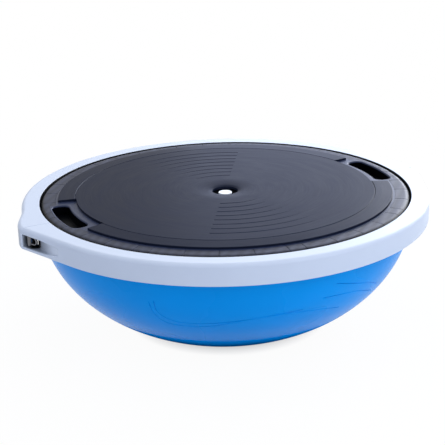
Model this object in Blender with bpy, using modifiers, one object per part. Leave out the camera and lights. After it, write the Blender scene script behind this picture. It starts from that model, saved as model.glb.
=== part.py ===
"""Half ball balance trainer.

A ribbed platform and a lugged ring clamp the flange of an inflated dome between them. The trainer
stands on its dome, the way it does when someone stands on the platform. Units are metres, +Z is up,
the floor is z = 0, the middle of the platform is over the origin and the two lugs lie along X.
"""

import math

import bmesh
import bpy
from mathutils import Matrix, Vector

OBJECT_NAME = "half_ball_balance_trainer"
FIT = 0.0003  # gap left between neighbouring pieces
SEGMENTS = 60  # facets round the trainer
SMALL_SEGMENTS = 16  # facets round the valve, the plug and the anchors
FACET = 360 / SEGMENTS

# Ring
RING_RADIUS = 0.310
RING_BAND = 0.027  # width of the flat band that shows round the platform
RING_HEIGHT = 0.0317
RING_WALL = 0.0032
RING_TOP_ROUND = 0.006
RING_EDGE = 0.001  # small chamfers at the foot and at the inner edge
SHELF_WIDTH = 0.0142
SHELF_THICKNESS = 0.0087
CHANNEL_POCKETS = 10  # hollow bays under the ring on each side, parted by ribs
CHANNEL_RIB = 0.0026
CHANNEL_SPANS = ((24.0, 156.0), (210.0, 330.0))  # degrees between the lugs, on their two sides

# Lugs, in degrees from the lug's middle line towards the scooped side. The two mirror each other.
LUG_REACH = 0.0183
LUG_TAIL = -12.0
LUG_CORNER = 4.0

# Scoop in the straight face of each lug, measured along the face from the lug's corner
SCOOP_END_WALL = 0.003
SCOOP_POCKET_LENGTH = 0.024
SCOOP_STEP = 0.002  # the pocket's inner wall slants by this much to the ramp
SCOOP_LENGTH = 0.083
SCOOP_POCKET_DEPTH = 0.018
SCOOP_RAMP_DEPTH = 0.011
RAMP_POWER = 1.4
SCOOP_ROOF = 0.0088
SCOOP_FLOOR = 0.0042
ROOF_FALL = 0.0036  # the ramp's end is lower than the pocket above, and narrower
FLOOR_LIFT = 0.0075
RAMP_STEPS = 6

# Platform
RIM_GAP = 0.003
RIM_WIDTH = 0.025  # from the platform's edge in to the raised disc
DISC_RISE = 0.004
DISC_ROUND = 0.0006
CREASE_INSET = 0.026  # from the disc's edge in to the crease line
CREASE_DEPTH = 0.0008
BAND_FALL = 0.0008
SKIN = 0.0035
PLATE_DEPTH = 0.0167
SKIRT = 0.003
RIB = 0.0025
RADIAL_RIBS = 12
CLAMP_RIB_INSET = 0.0087  # from the platform's edge in to the inner clamp rib
DISH_RADIUS = 0.050
DISH_DEPTH = 0.002
WELL_RADIUS = 0.020
WELL_DEPTH = 0.006
VALVE_HOLE = 0.012

# Hand slots
SLOT_INSET = 0.014
SLOT_WIDTH = 0.026
SLOT_TURN = 1.2  # degrees from a lug's middle towards its scoop
SLOT_HALF_ANGLE = 12.3
SLOT_CORNER = 0.010
SLOT_DEPTH = 0.0142
SLOT_WALL = 0.0027
NOTCH_HALF_ANGLE = 16.0

# Arc grooves in two opposite sectors of the disc
GROOVE_FIRST = 0.071
GROOVE_PITCH = 0.0187
GROOVES = 8
GROOVE_START = 60.5
GROOVE_SWEEP = 62.0
GROOVE_RADIUS = 0.0013
GROOVE_LIFT = 0.0005
GROOVE_FADE = 0.5

# Tread ring
TREAD_WIDTH = 0.021
TREAD_THICKNESS = 0.004
TREAD_ROUND = 0.008  # width of the tread's rounded outer edge
TREAD_FALL = 0.0024  # and how far it falls
TILE_GROUPS = 8
TILE_START = -50.0
TILE_SEAMS = (0.0, 5.0, 15.0, 25.0, 35.0)  # degrees in each group: one narrow tile, four wide ones
SEAM_WIDTH = 0.001
SEAM_DEPTH = 0.0008

# Clamp screws
SCREWS = 16
SCREW_INSET = 0.0056  # from the platform's edge in to the screw circle
SCREW_SHANK = 0.002
SCREW_HEAD = 0.004
SCREW_HEAD_HEIGHT = 0.0026
SCREW_GRIP = 0.0067  # depth of thread in the ring's shelf
SCREW_SEGMENTS = 8
PILLAR_RADIUS = 0.005

# Bladder
DOME_INSET = 0.024  # underside of the ring that shows outside the dome
DOME_DEPTH = 0.210
DOME_CENTRE_DROP = 0.0102
DOME_POWER = 2.09
DOME_STEPS = 12
FOOT_SINK = 0.018  # how far the crown is pressed flat by the floor
FOOT_BLEND = 0.008
BLADDER_WALL = 0.0035
TOP_SKIN = 0.0025
FLANGE_THICKNESS = 0.003

# Valve and plug
VALVE_BORE = 0.0043
VALVE_NECK = 0.0085
VALVE_FLANGE = 0.0195
VALVE_FLANGE_THICKNESS = 0.0018
VALVE_TAIL = 0.006
PLUG_HEAD = 0.0104
PLUG_HEAD_HEIGHT = 0.0024
PLUG_EDGE = 0.0007
PLUG_STEM = 0.0036
PLUG_RIB = 0.0040
PLUG_LENGTH = 0.0165

# Anchor rings and their pins
PIN_SETBACK = 0.009  # from the lug's corner and from its face
PIN_RADIUS = 0.002
PIN_HEAD = 0.0036
PIN_HEAD_HEIGHT = 0.0013
PIN_SEAT = 0.0035  # depth of the pin's end in the roof of the scoop
PIN_CLEARANCE = 0.0004
BARREL_WALL = 0.0018
WIRE_RADIUS = 0.0018
EYE_LENGTH = 0.010
EYE_HALF_HEIGHT = 0.0055

# Radii that follow from the sizes above
RING_INNER = RING_RADIUS - RING_BAND
PLATE_RADIUS = RING_INNER - RIM_GAP
DISC_RADIUS = PLATE_RADIUS - RIM_WIDTH
CREASE_RADIUS = DISC_RADIUS - CREASE_INSET
LEDGE_RADIUS = PLATE_RADIUS - TREAD_WIDTH - FIT
CLAMP_RIB_OUTER = PLATE_RADIUS - CLAMP_RIB_INSET
CLAMP_RIB_INNER = CLAMP_RIB_OUTER - RIB
SCREW_CIRCLE = PLATE_RADIUS - SCREW_INSET
SLOT_OUTER = PLATE_RADIUS - SLOT_INSET
SLOT_INNER = SLOT_OUTER - SLOT_WIDTH
SHELF_INNER = RING_INNER - SHELF_WIDTH
NECK_RADIUS = SHELF_INNER - FIT
DOME_RADIUS = RING_RADIUS - DOME_INSET

# Levels that follow from the sizes above
RIM_Z = DOME_CENTRE_DROP + DOME_DEPTH - FOOT_SINK
DOME_CENTRE_Z = RIM_Z - DOME_CENTRE_DROP
DISC_Z = RIM_Z + DISC_RISE
LEDGE_Z = RIM_Z - TREAD_THICKNESS - FIT
LAND_Z = RIM_Z - PLATE_DEPTH  # underside of the platform's ribs
RING_TOP_Z = RIM_Z
RING_BOTTOM_Z = RING_TOP_Z - RING_HEIGHT
FLANGE_Z = LAND_Z - FIT
SHELF_Z = FLANGE_Z - FLANGE_THICKNESS - FIT
SHELF_BOTTOM_Z = SHELF_Z - SHELF_THICKNESS
SKIN_UNDER_Z = DISC_Z - SKIN
LEDGE_UNDER_Z = LEDGE_Z - SKIN
WELL_FLOOR_Z = DISC_Z - DISH_DEPTH - WELL_DEPTH
COUNTERBORE_Z = LEDGE_Z - SCREW_HEAD_HEIGHT - 2 * FIT
PLUG_Z = WELL_FLOOR_Z + 2 * FIT  # underside of the plug's head
SCOOP_TOP_Z = RING_TOP_Z - SCOOP_ROOF
SCOOP_BOTTOM_Z = RING_BOTTOM_Z + SCOOP_FLOOR

# Straight face of a lug: it leaves the ring's circle as a tangent and ends at the lug's corner
FACE_TURN = math.degrees(math.acos(RING_RADIUS / (RING_RADIUS + LUG_REACH)))
FACE_END = LUG_CORNER + FACE_TURN
FACE_LENGTH = RING_RADIUS * math.tan(math.radians(FACE_TURN))
LUG_SIDES = {"left": 180.0, "right": 0.0}
SLOT_SIDES = (180 + SLOT_TURN, -SLOT_TURN)


def linear(channel):
    """One sRGB channel, 0 to 255, as the linear value that a shader takes."""
    value = channel / 255
    if value <= 0.04045:
        return value / 12.92
    return ((value + 0.055) / 1.055) ** 2.4


def make_material(name, colour, roughness, metallic=0.0):
    """A plain material. The colour is a hex string."""
    made = bpy.data.materials.new(name)
    made.use_nodes = True
    shader = made.node_tree.nodes["Principled BSDF"]
    channels = [linear(int(colour[i:i + 2], 16)) for i in (1, 3, 5)]
    shader.inputs["Base Color"].default_value = (*channels, 1)
    shader.inputs["Roughness"].default_value = roughness
    shader.inputs["Metallic"].default_value = metallic
    made.diffuse_color = (*channels, 1)
    return made


def clear_scene():
    """Remove what the file opened with, and make the two collections."""
    for old in list(bpy.data.objects):
        bpy.data.objects.remove(old)
    made = []
    for name in (OBJECT_NAME, "cutters"):
        collection = bpy.data.collections.new(name)
        bpy.context.scene.collection.children.link(collection)
        made.append(collection)
    return made


def polar(radius, degrees):
    """A point on a circle round the Z axis."""
    angle = math.radians(degrees)
    return (radius * math.cos(angle), radius * math.sin(angle))


def sector(inner, outer, start, end):
    """Outline of a slice of a flat ring between two angles, anticlockwise."""
    steps = max(1, math.ceil((end - start) / FACET))
    angles = [start + (end - start) * step / steps for step in range(steps + 1)]
    return [polar(outer, a) for a in angles] + [polar(inner, a) for a in reversed(angles)]


def add_prism(bm, outline, low, high):
    """Extrude a flat outline from low to high."""
    face = bm.faces.new([bm.verts.new((x, y, low)) for x, y in outline])
    made = bmesh.ops.extrude_face_region(bm, geom=[face])["geom"]
    top = [item for item in made if isinstance(item, bmesh.types.BMVert)]
    bmesh.ops.translate(bm, vec=(0, 0, high - low), verts=top)


def add_cylinder(bm, radius, low, high, centre, segments):
    """An upright cylinder between two heights."""
    place = Matrix.Translation((centre[0], centre[1], (low + high) / 2))
    bmesh.ops.create_cone(bm, cap_ends=True, segments=segments, radius1=radius, radius2=radius,
                          depth=high - low, matrix=place)


def add_radial_slab(bm, outline, thickness, degrees):
    """Extrude an outline of (r, z) points to a slab that stands along a radius."""
    face = bm.faces.new([bm.verts.new((r, -thickness / 2, z)) for r, z in outline])
    made = bmesh.ops.extrude_face_region(bm, geom=[face])["geom"]
    far = [item for item in made if isinstance(item, bmesh.types.BMVert)]
    bmesh.ops.translate(bm, vec=(0, thickness, 0), verts=far)
    corners = list(face.verts) + far
    bmesh.ops.rotate(bm, cent=(0, 0, 0), matrix=Matrix.Rotation(math.radians(degrees), 3, "Z"),
                     verts=corners)


def place_mesh(bm, name, collection):
    """Put a finished mesh in the scene as an object."""
    bmesh.ops.recalc_face_normals(bm, faces=bm.faces)
    mesh = bpy.data.meshes.new(name)
    bm.to_mesh(mesh)
    bm.free()
    made = bpy.data.objects.new(name, mesh)
    collection.objects.link(made)
    return made


def lathe(name, profile, collection, segments=SEGMENTS, closed=True):
    """Turn (r, z) points round the Z axis. They run down the outer side of the shape."""
    edges = [(i, i + 1) for i in range(len(profile) - 1)]
    if closed:
        edges.append((len(profile) - 1, 0))
    mesh = bpy.data.meshes.new(name)
    mesh.from_pydata([(r, 0, z) for r, z in profile], edges, [])
    made = bpy.data.objects.new(name, mesh)
    collection.objects.link(made)
    turn = made.modifiers.new("turn", "SCREW")
    turn.steps = segments
    turn.render_steps = segments
    turn.use_merge_vertices = True
    turn.merge_threshold = 0.00001
    return made


def wires(name, routes, radius, resolution, collection):
    """Round wires as one mesh. A route is a list of points, each with its share of the radius."""
    curve = bpy.data.curves.new(name, "CURVE")
    curve.dimensions = "3D"
    curve.bevel_depth = radius
    curve.bevel_resolution = resolution
    curve.use_fill_caps = True
    for route in routes:
        spline = curve.splines.new("POLY")
        spline.points.add(len(route) - 1)
        for point, (place, share) in zip(spline.points, route):
            point.co = (*place, 1)
            point.radius = share
    drawn = bpy.data.objects.new(name, curve)
    collection.objects.link(drawn)
    evaluated = drawn.evaluated_get(bpy.context.evaluated_depsgraph_get())
    bm = bmesh.new()
    bm.from_mesh(bpy.data.meshes.new_from_object(evaluated))
    bmesh.ops.remove_doubles(bm, verts=bm.verts, dist=0.00001)
    bpy.data.objects.remove(drawn)
    return place_mesh(bm, name, collection)


def boolean(target, tool, operation):
    """Join a tool to a piece, or cut it away."""
    step = target.modifiers.new(tool.name, "BOOLEAN")
    step.operation = operation
    step.solver = "EXACT"
    step.object = tool
    tool.hide_render = True
    tool.display_type = "WIRE"


def dome_radius(z):
    """Radius of the dome's outer skin at a height."""
    share = (DOME_CENTRE_Z - z) / DOME_DEPTH
    return DOME_RADIUS * (1 - share ** DOME_POWER) ** (1 / DOME_POWER)


def pressed(z):
    """A height of the free dome, after the floor has pressed its crown flat."""
    if z <= -FOOT_BLEND:
        return 0.0
    if z >= FOOT_BLEND:
        return z
    return (z + FOOT_BLEND) ** 2 / (4 * FOOT_BLEND)


def dome_points(steps):
    """The outer skin from just under the ring down to the edge of the flat foot."""
    high = SHELF_BOTTOM_Z - FIT - BLADDER_WALL / 2
    power = DOME_POWER / 2
    first = math.acos(((DOME_CENTRE_Z - high) / DOME_DEPTH) ** power)
    last = math.acos(((DOME_CENTRE_Z + FOOT_BLEND) / DOME_DEPTH) ** power)
    points = []
    for step in range(steps + 1):
        turn = first + (last - first) * step / steps
        z = DOME_CENTRE_Z - DOME_DEPTH * math.cos(turn) ** (1 / power)
        points.append((DOME_RADIUS * math.sin(turn) ** (1 / power), pressed(z)))
    return points


def inset(points, wall):
    """A profile moved in by the wall, square to its own direction."""
    moved = []
    for index, (r, z) in enumerate(points):
        before = Vector(points[max(index - 1, 0)])
        after = Vector(points[min(index + 1, len(points) - 1)])
        along = (after - before).normalized()
        moved.append((r + along.y * wall, z - along.x * wall))
    return moved


def mirrored(side, x, y):
    """A place on the left side, or its mirror image on the right side."""
    if side == "right":
        x = -x
    return Vector((x, y))


def face_point(side, along, deep):
    """A point by its place on a lug's straight face: along it from the corner, and in from it."""
    turn = math.radians(FACE_END + LUG_SIDES["left"])
    outward = Vector((math.cos(turn), math.sin(turn)))
    tangent = Vector((-math.sin(turn), math.cos(turn)))
    place = outward * (RING_RADIUS - deep) + tangent * (along - FACE_LENGTH)
    return mirrored(side, place.x, place.y)


def lug_radius(degrees):
    """Radius of the ring's outline beside a lug's middle line."""
    if degrees >= LUG_CORNER:
        return RING_RADIUS / math.cos(math.radians(FACE_END - degrees))
    share = (LUG_CORNER - degrees) / (LUG_CORNER - LUG_TAIL)
    return RING_RADIUS + LUG_REACH * (1 + math.cos(math.pi * share)) / 2


def ring_outline():
    """The ring from above: a circle with two lugs, each straight on one side and eased on the other."""
    tail_steps = 8
    lug = [LUG_TAIL + (LUG_CORNER - LUG_TAIL) * i / tail_steps for i in range(tail_steps + 1)]
    lug.append(FACE_END)
    left = [polar(lug_radius(a), LUG_SIDES["left"] + a) for a in lug]
    right = [mirrored("right", x, y) for x, y in reversed(left)]
    outline = []
    for corners, start, end in ((right, -LUG_TAIL, 180 + LUG_TAIL), (left, 180 + FACE_END, 360 - FACE_END)):
        between = range(math.floor(start / FACET) + 1, math.ceil(end / FACET))
        outline += corners + [polar(RING_RADIUS, i * FACET) for i in between]
    return outline


def level_edges(bm, z):
    """The edges that lie flat at a height."""
    return [e for e in bm.edges if all(abs(v.co.z - z) < FIT / 2 for v in e.verts)]


def scoop_stations():
    """Sections of the scoop along the face: a deep pocket next to the tip, then a ramp to the face.

    Each is its place along the face, its depth, its low level and its high level.
    """
    pocket_end = SCOOP_END_WALL + SCOOP_POCKET_LENGTH
    ramp_start = pocket_end + SCOOP_STEP
    scoop_end = SCOOP_END_WALL + SCOOP_LENGTH
    stations = [(along, SCOOP_POCKET_DEPTH, SCOOP_BOTTOM_Z, SCOOP_TOP_Z)
                for along in (SCOOP_END_WALL, pocket_end)]
    for step in range(RAMP_STEPS + 1):
        share = step / RAMP_STEPS
        stations.append((ramp_start + (scoop_end - ramp_start) * share,
                         SCOOP_RAMP_DEPTH * (1 - share) ** RAMP_POWER,
                         SCOOP_BOTTOM_Z + FLOOR_LIFT * share ** 3, SCOOP_TOP_Z - ROOF_FALL * share ** 2))
    return stations


def ring_well_cutter(cutters):
    """The space inside the ring: platform above the shelf, bladder neck through it, dome below."""
    above = RING_TOP_Z + RING_HEIGHT
    below = RING_BOTTOM_Z - RING_HEIGHT
    lip = dome_radius(SHELF_BOTTOM_Z) + FIT
    profile = [(0, above), (RING_INNER + RING_EDGE, above), (RING_INNER + RING_EDGE, RING_TOP_Z),
               (RING_INNER, RING_TOP_Z - RING_EDGE), (RING_INNER, SHELF_Z), (SHELF_INNER, SHELF_Z),
               (SHELF_INNER, SHELF_BOTTOM_Z), (lip, SHELF_BOTTOM_Z), (lip, below), (0, below)]
    return lathe("ring_well", profile, cutters, closed=False)


def ring_channel_cutter(cutters):
    """The hollow bays under the ring, open below, with ribs left between them."""
    inner = dome_radius(SHELF_BOTTOM_Z) + FIT + RING_WALL
    outer = RING_RADIUS - RING_WALL
    rib = math.degrees(CHANNEL_RIB / outer)
    bm = bmesh.new()
    for span_start, span_end in CHANNEL_SPANS:
        pitch = (span_end - span_start) / CHANNEL_POCKETS
        for bay in range(CHANNEL_POCKETS):
            start = span_start + bay * pitch + rib / 2
            outline = sector(inner, outer, start, start + pitch - rib)
            add_prism(bm, outline, RING_BOTTOM_Z - RING_WALL, RING_TOP_Z - RING_WALL)
    return place_mesh(bm, "ring_channel", cutters)


def scoop_cutter(cutters):
    """Both scoops, each a run of sections joined by flat sides."""
    outside = -SCOOP_END_WALL
    bm = bmesh.new()
    for side in LUG_SIDES:
        sections = []
        for along, deep, low, high in scoop_stations():
            corners = [(outside, low), (deep, low), (deep, high), (outside, high)]
            sections.append([bm.verts.new((*face_point(side, along, d), z)) for d, z in corners])
        for here, after in zip(sections, sections[1:]):
            for i in range(4):
                bm.faces.new([here[i - 1], here[i], after[i], after[i - 1]])
        bm.faces.new(sections[0])
        bm.faces.new(sections[-1])
    return place_mesh(bm, "ring_scoops", cutters)


def pin_hole_cutter(cutters):
    """The holes for the anchor pins, through the floor of each scoop and into its roof."""
    bm = bmesh.new()
    for side in LUG_SIDES:
        centre = face_point(side, PIN_SETBACK, PIN_SETBACK)
        add_cylinder(bm, PIN_RADIUS + FIT, RING_BOTTOM_Z + FIT, SCOOP_TOP_Z + PIN_SEAT + FIT,
                     centre, SMALL_SEGMENTS)
    holes = place_mesh(bm, "pin_holes", cutters)
    bm = bmesh.new()
    for side in LUG_SIDES:
        centre = face_point(side, PIN_SETBACK, PIN_SETBACK)
        add_cylinder(bm, PIN_HEAD + FIT, RING_BOTTOM_Z - FIT,
                     RING_BOTTOM_Z + PIN_HEAD_HEIGHT + 2 * FIT, centre, SMALL_SEGMENTS)
    return holes, place_mesh(bm, "pin_seats", cutters)


def screw_places():
    """Where the clamp screws stand, from above."""
    pitch = 360 / SCREWS
    return [polar(SCREW_CIRCLE, (index + 0.5) * pitch) for index in range(SCREWS)]


def screw_hole_cutter(name, radius, low, high, cutters):
    """One hole for each clamp screw."""
    bm = bmesh.new()
    for centre in screw_places():
        add_cylinder(bm, radius, low, high, centre, SCREW_SEGMENTS)
    return place_mesh(bm, name, cutters)


def make_ring(parts, cutters):
    """The ring with its lugs, cut for the platform, the bladder, the anchors and the screws."""
    bm = bmesh.new()
    add_prism(bm, ring_outline(), RING_BOTTOM_Z, RING_TOP_Z)
    bmesh.ops.bevel(bm, geom=level_edges(bm, RING_TOP_Z), offset=RING_TOP_ROUND, segments=3,
                    profile=0.5, affect="EDGES")
    bmesh.ops.bevel(bm, geom=level_edges(bm, RING_BOTTOM_Z), offset=RING_EDGE, segments=1,
                    affect="EDGES")
    ring = place_mesh(bm, "outer_ring", parts)
    boolean(ring, ring_well_cutter(cutters), "DIFFERENCE")
    boolean(ring, ring_channel_cutter(cutters), "DIFFERENCE")
    boolean(ring, scoop_cutter(cutters), "DIFFERENCE")
    for cutter in pin_hole_cutter(cutters):
        boolean(ring, cutter, "DIFFERENCE")
    pilot_low = SHELF_Z - SCREW_GRIP - 2 * FIT
    pilots = screw_hole_cutter("pilot_holes", SCREW_SHANK + FIT, pilot_low, SHELF_Z + FIT, cutters)
    boolean(ring, pilots, "DIFFERENCE")
    return ring


def platform_profile():
    """Cross-section of the platform from its valve hole out to its rim and back underneath."""
    dish_z = DISC_Z - DISH_DEPTH
    band_z = DISC_Z - BAND_FALL
    crease_half = CREASE_DEPTH
    points = [(VALVE_HOLE, WELL_FLOOR_Z), (WELL_RADIUS, WELL_FLOOR_Z), (WELL_RADIUS, dish_z)]
    for share in (0.5, 1):
        radius = WELL_RADIUS + (DISH_RADIUS - WELL_RADIUS) * share
        points.append((radius, DISC_Z - DISH_DEPTH * (1 - share) ** 2))
    points += [(CREASE_RADIUS - crease_half, DISC_Z), (CREASE_RADIUS, DISC_Z - CREASE_DEPTH),
               (CREASE_RADIUS + crease_half, DISC_Z), (DISC_RADIUS - DISC_ROUND, band_z),
               (DISC_RADIUS, band_z - DISC_ROUND), (DISC_RADIUS, RIM_Z)]
    points += [(LEDGE_RADIUS, RIM_Z), (LEDGE_RADIUS, LEDGE_Z), (PLATE_RADIUS, LEDGE_Z),
               (PLATE_RADIUS, LAND_Z), (PLATE_RADIUS - SKIRT, LAND_Z),
               (PLATE_RADIUS - SKIRT, LEDGE_UNDER_Z)]
    points += [(CLAMP_RIB_OUTER, LEDGE_UNDER_Z), (CLAMP_RIB_OUTER, LAND_Z),
               (CLAMP_RIB_INNER, LAND_Z), (CLAMP_RIB_INNER, LEDGE_UNDER_Z)]
    points += [(LEDGE_RADIUS - SKIN, LEDGE_UNDER_Z), (DISC_RADIUS - SKIN, SKIN_UNDER_Z)]
    points += [(DISH_RADIUS, SKIN_UNDER_Z), (WELL_RADIUS + SKIN, SKIN_UNDER_Z - DISH_DEPTH),
               (WELL_RADIUS + SKIN, LAND_Z), (WELL_RADIUS, LAND_Z),
               (WELL_RADIUS, WELL_FLOOR_Z - SKIN), (VALVE_HOLE, WELL_FLOOR_Z - SKIN)]
    return points


def platform_rib_tool(cutters):
    """The radial ribs under the platform, from the valve well out to the inner clamp rib."""
    bite = FIT * 2
    low = LAND_Z + FIT
    middle = WELL_RADIUS + SKIN / 2
    step = DISC_RADIUS - SKIN
    outline = [(middle, low), (CLAMP_RIB_INNER + RIB / 2, low),
               (CLAMP_RIB_INNER + RIB / 2, LEDGE_UNDER_Z + bite), (LEDGE_RADIUS, LEDGE_UNDER_Z + bite),
               (step, SKIN_UNDER_Z + bite), (middle, SKIN_UNDER_Z + bite)]
    bm = bmesh.new()
    for index in range(RADIAL_RIBS):
        add_radial_slab(bm, outline, RIB, (index + 0.5) * 360 / RADIAL_RIBS)
    return place_mesh(bm, "platform_ribs", cutters)


def platform_pillar_tool(cutters):
    """The pillars that the clamp screws pass through."""
    bm = bmesh.new()
    for centre in screw_places():
        add_cylinder(bm, PILLAR_RADIUS, LAND_Z + FIT, LEDGE_Z - SKIN / 2, centre, SCREW_SEGMENTS)
    return place_mesh(bm, "platform_pillars", cutters)


def pocket_half_angle(extra):
    """Half the angle of a hand pocket's block, widened by a length at the slot's outer edge."""
    return SLOT_HALF_ANGLE + math.degrees((SLOT_WALL + extra) / SLOT_INNER)


def platform_pocket_tools(cutters):
    """A pad under each notch, and a block round each hand slot that becomes its pocket."""
    bm = bmesh.new()
    pad_half = NOTCH_HALF_ANGLE + math.degrees(SKIN / CREASE_RADIUS)
    for side in SLOT_SIDES:
        outline = sector(CREASE_RADIUS - SKIN, DISC_RADIUS, side - pad_half, side + pad_half)
        add_prism(bm, outline, RIM_Z - SKIN, SKIN_UNDER_Z + 2 * FIT)
    pads = place_mesh(bm, "notch_pads", cutters)
    bm = bmesh.new()
    half = pocket_half_angle(0)
    for side in SLOT_SIDES:
        outline = sector(SLOT_INNER - SLOT_WALL, SLOT_OUTER + SLOT_WALL, side - half, side + half)
        add_prism(bm, outline, LAND_Z + FIT, RIM_Z)
    return pads, place_mesh(bm, "pocket_blocks", cutters)


def notch_cutter(cutters):
    """The notches that take the disc's outer band down to the rim beside each hand slot."""
    bm = bmesh.new()
    for side in SLOT_SIDES:
        outline = sector(CREASE_RADIUS - 2 * CREASE_DEPTH, DISC_RADIUS + FIT, side - NOTCH_HALF_ANGLE,
                         side + NOTCH_HALF_ANGLE)
        add_prism(bm, outline, RIM_Z, DISC_Z + DISC_RISE)
    return place_mesh(bm, "notches", cutters)


def slot_cutter(cutters):
    """The hand slots, with rounded corners."""
    bm = bmesh.new()
    for side in SLOT_SIDES:
        outline = sector(SLOT_INNER, SLOT_OUTER, side - SLOT_HALF_ANGLE, side + SLOT_HALF_ANGLE)
        add_prism(bm, outline, RIM_Z - SLOT_DEPTH, DISC_Z + DISC_RISE)
    ends = []
    for side in SLOT_SIDES:
        for turn in (-SLOT_HALF_ANGLE, SLOT_HALF_ANGLE):
            ends += [Vector(polar(radius, side + turn)) for radius in (SLOT_INNER, SLOT_OUTER)]
    upright = []
    for edge in bm.edges:
        low, high = (v.co.to_2d() for v in edge.verts)
        if (low - high).length < FIT and any((low - end).length < FIT for end in ends):
            upright.append(edge)
    bmesh.ops.bevel(bm, geom=upright, offset=SLOT_CORNER, segments=3, profile=0.5, affect="EDGES")
    return place_mesh(bm, "hand_slots", cutters)


def groove_cutter(cutters):
    """Wires that lie half in the disc and leave arc grooves, which fade along their length."""
    routes = []
    steps = round(GROOVE_SWEEP / FACET) - 2
    for side in LUG_SIDES.values():
        for index in range(GROOVES):
            radius = GROOVE_FIRST + index * GROOVE_PITCH
            route = []
            for step in range(steps + 1):
                share = step / steps
                x, y = polar(radius, side + GROOVE_START + GROOVE_SWEEP * share)
                route.append(((x, y, DISC_Z + GROOVE_LIFT), 1 - GROOVE_FADE * share))
            routes.append(route)
    return wires("grooves", routes, GROOVE_RADIUS, 1, cutters)


def make_platform(parts, cutters):
    """The platform in one moulding: skin, ribs, pillars and hand pockets."""
    platform = lathe("base_platform", platform_profile(), parts)
    boolean(platform, platform_rib_tool(cutters), "UNION")
    boolean(platform, platform_pillar_tool(cutters), "UNION")
    for tool in platform_pocket_tools(cutters):
        boolean(platform, tool, "UNION")
    boolean(platform, notch_cutter(cutters), "DIFFERENCE")
    boolean(platform, slot_cutter(cutters), "DIFFERENCE")
    heads = screw_hole_cutter("counterbores", SCREW_HEAD + FIT, COUNTERBORE_Z, LEDGE_Z + FIT, cutters)
    boolean(platform, heads, "DIFFERENCE")
    shanks = screw_hole_cutter("shank_holes", SCREW_SHANK + FIT, LAND_Z - FIT, LEDGE_Z, cutters)
    boolean(platform, shanks, "DIFFERENCE")
    boolean(platform, groove_cutter(cutters), "DIFFERENCE")
    return platform


def tread_top(drop, inner, outer):
    """The tread's top from its inner to its outer side, moved down by a length."""
    points = [(inner, RIM_Z - drop)]
    for share in (0, 0.55, 1):
        radius = outer - TREAD_ROUND * (1 - share)
        points.append((radius, RIM_Z - drop - TREAD_FALL * share ** 2))
    return points


def make_tread(parts, cutters):
    """The rubber tread on the platform's ledge, let out round the hand slots, with tile seams."""
    inner = LEDGE_RADIUS + FIT
    low = LEDGE_Z + FIT
    profile = tread_top(0, inner, PLATE_RADIUS) + [(PLATE_RADIUS, low), (inner, low)]
    tread = lathe("tread_ring", profile, parts)
    bm = bmesh.new()
    half = pocket_half_angle(FIT)
    for side in SLOT_SIDES:
        outline = sector(SLOT_INNER, SLOT_OUTER + SLOT_WALL + FIT, side - half, side + half)
        add_prism(bm, outline, low - FIT, RIM_Z + FIT)
    boolean(tread, place_mesh(bm, "tread_reliefs", cutters), "DIFFERENCE")
    bm = bmesh.new()
    seam = tread_top(SEAM_DEPTH, inner - FIT, PLATE_RADIUS + FIT)
    seam += [(PLATE_RADIUS + FIT, RIM_Z + FIT), (inner - FIT, RIM_Z + FIT)]
    for group in range(TILE_GROUPS):
        for turn in TILE_SEAMS:
            add_radial_slab(bm, seam, SEAM_WIDTH, TILE_START + turn + group * 360 / TILE_GROUPS)
    boolean(tread, place_mesh(bm, "tile_seams", cutters), "DIFFERENCE")
    return tread


def bladder_profile():
    """Cross-section of the bladder from the inside of its foot, round its top, to the outside."""
    outside = dome_points(DOME_STEPS)
    coarse = dome_points(DOME_STEPS // 2)
    skin_under = FLANGE_Z - TOP_SKIN
    shoulder = SHELF_BOTTOM_Z - FIT
    inside = inset(coarse, BLADDER_WALL)
    inside[-1] = (coarse[-1][0], BLADDER_WALL)
    neck_inner = NECK_RADIUS - BLADDER_WALL
    hole = VALVE_NECK + FIT
    points = [(0, BLADDER_WALL)] + inside[::-1]
    points += [(inside[0][0] - BLADDER_WALL / 2, shoulder - BLADDER_WALL),
               (neck_inner, shoulder - BLADDER_WALL), (neck_inner, skin_under), (hole, skin_under)]
    points += [(hole, FLANGE_Z), (RING_INNER - FIT, FLANGE_Z),
               (RING_INNER - FIT, FLANGE_Z - FLANGE_THICKNESS), (NECK_RADIUS, FLANGE_Z - FLANGE_THICKNESS)]
    points += [(NECK_RADIUS, shoulder), (outside[0][0] - BLADDER_WALL / 2, shoulder)]
    return points + outside + [(0, 0)]


def make_bladder(parts, cutters):
    """The bladder in one welded skin, with holes for the screws in its flange."""
    bladder = lathe("dome_bladder", bladder_profile(), parts, closed=False)
    holes = screw_hole_cutter("flange_holes", SCREW_SHANK + 2 * FIT, FLANGE_Z - FLANGE_THICKNESS - FIT,
                              FLANGE_Z + FIT, cutters)
    boolean(bladder, holes, "DIFFERENCE")
    return bladder


def make_valve(parts):
    """The rubber valve seat: a flange on the bladder's top skin, a neck up to the well, a tail below."""
    flange_low = FLANGE_Z + FIT
    flange_high = flange_low + VALVE_FLANGE_THICKNESS
    tail_z = FLANGE_Z - TOP_SKIN - VALVE_TAIL
    profile = [(VALVE_BORE, WELL_FLOOR_Z), (VALVE_NECK, WELL_FLOOR_Z), (VALVE_NECK, flange_high),
               (VALVE_FLANGE, flange_high), (VALVE_FLANGE, flange_low), (VALVE_NECK, flange_low),
               (VALVE_NECK, tail_z), (VALVE_BORE, tail_z)]
    return lathe("valve_body", profile, parts, segments=SMALL_SEGMENTS)


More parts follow.
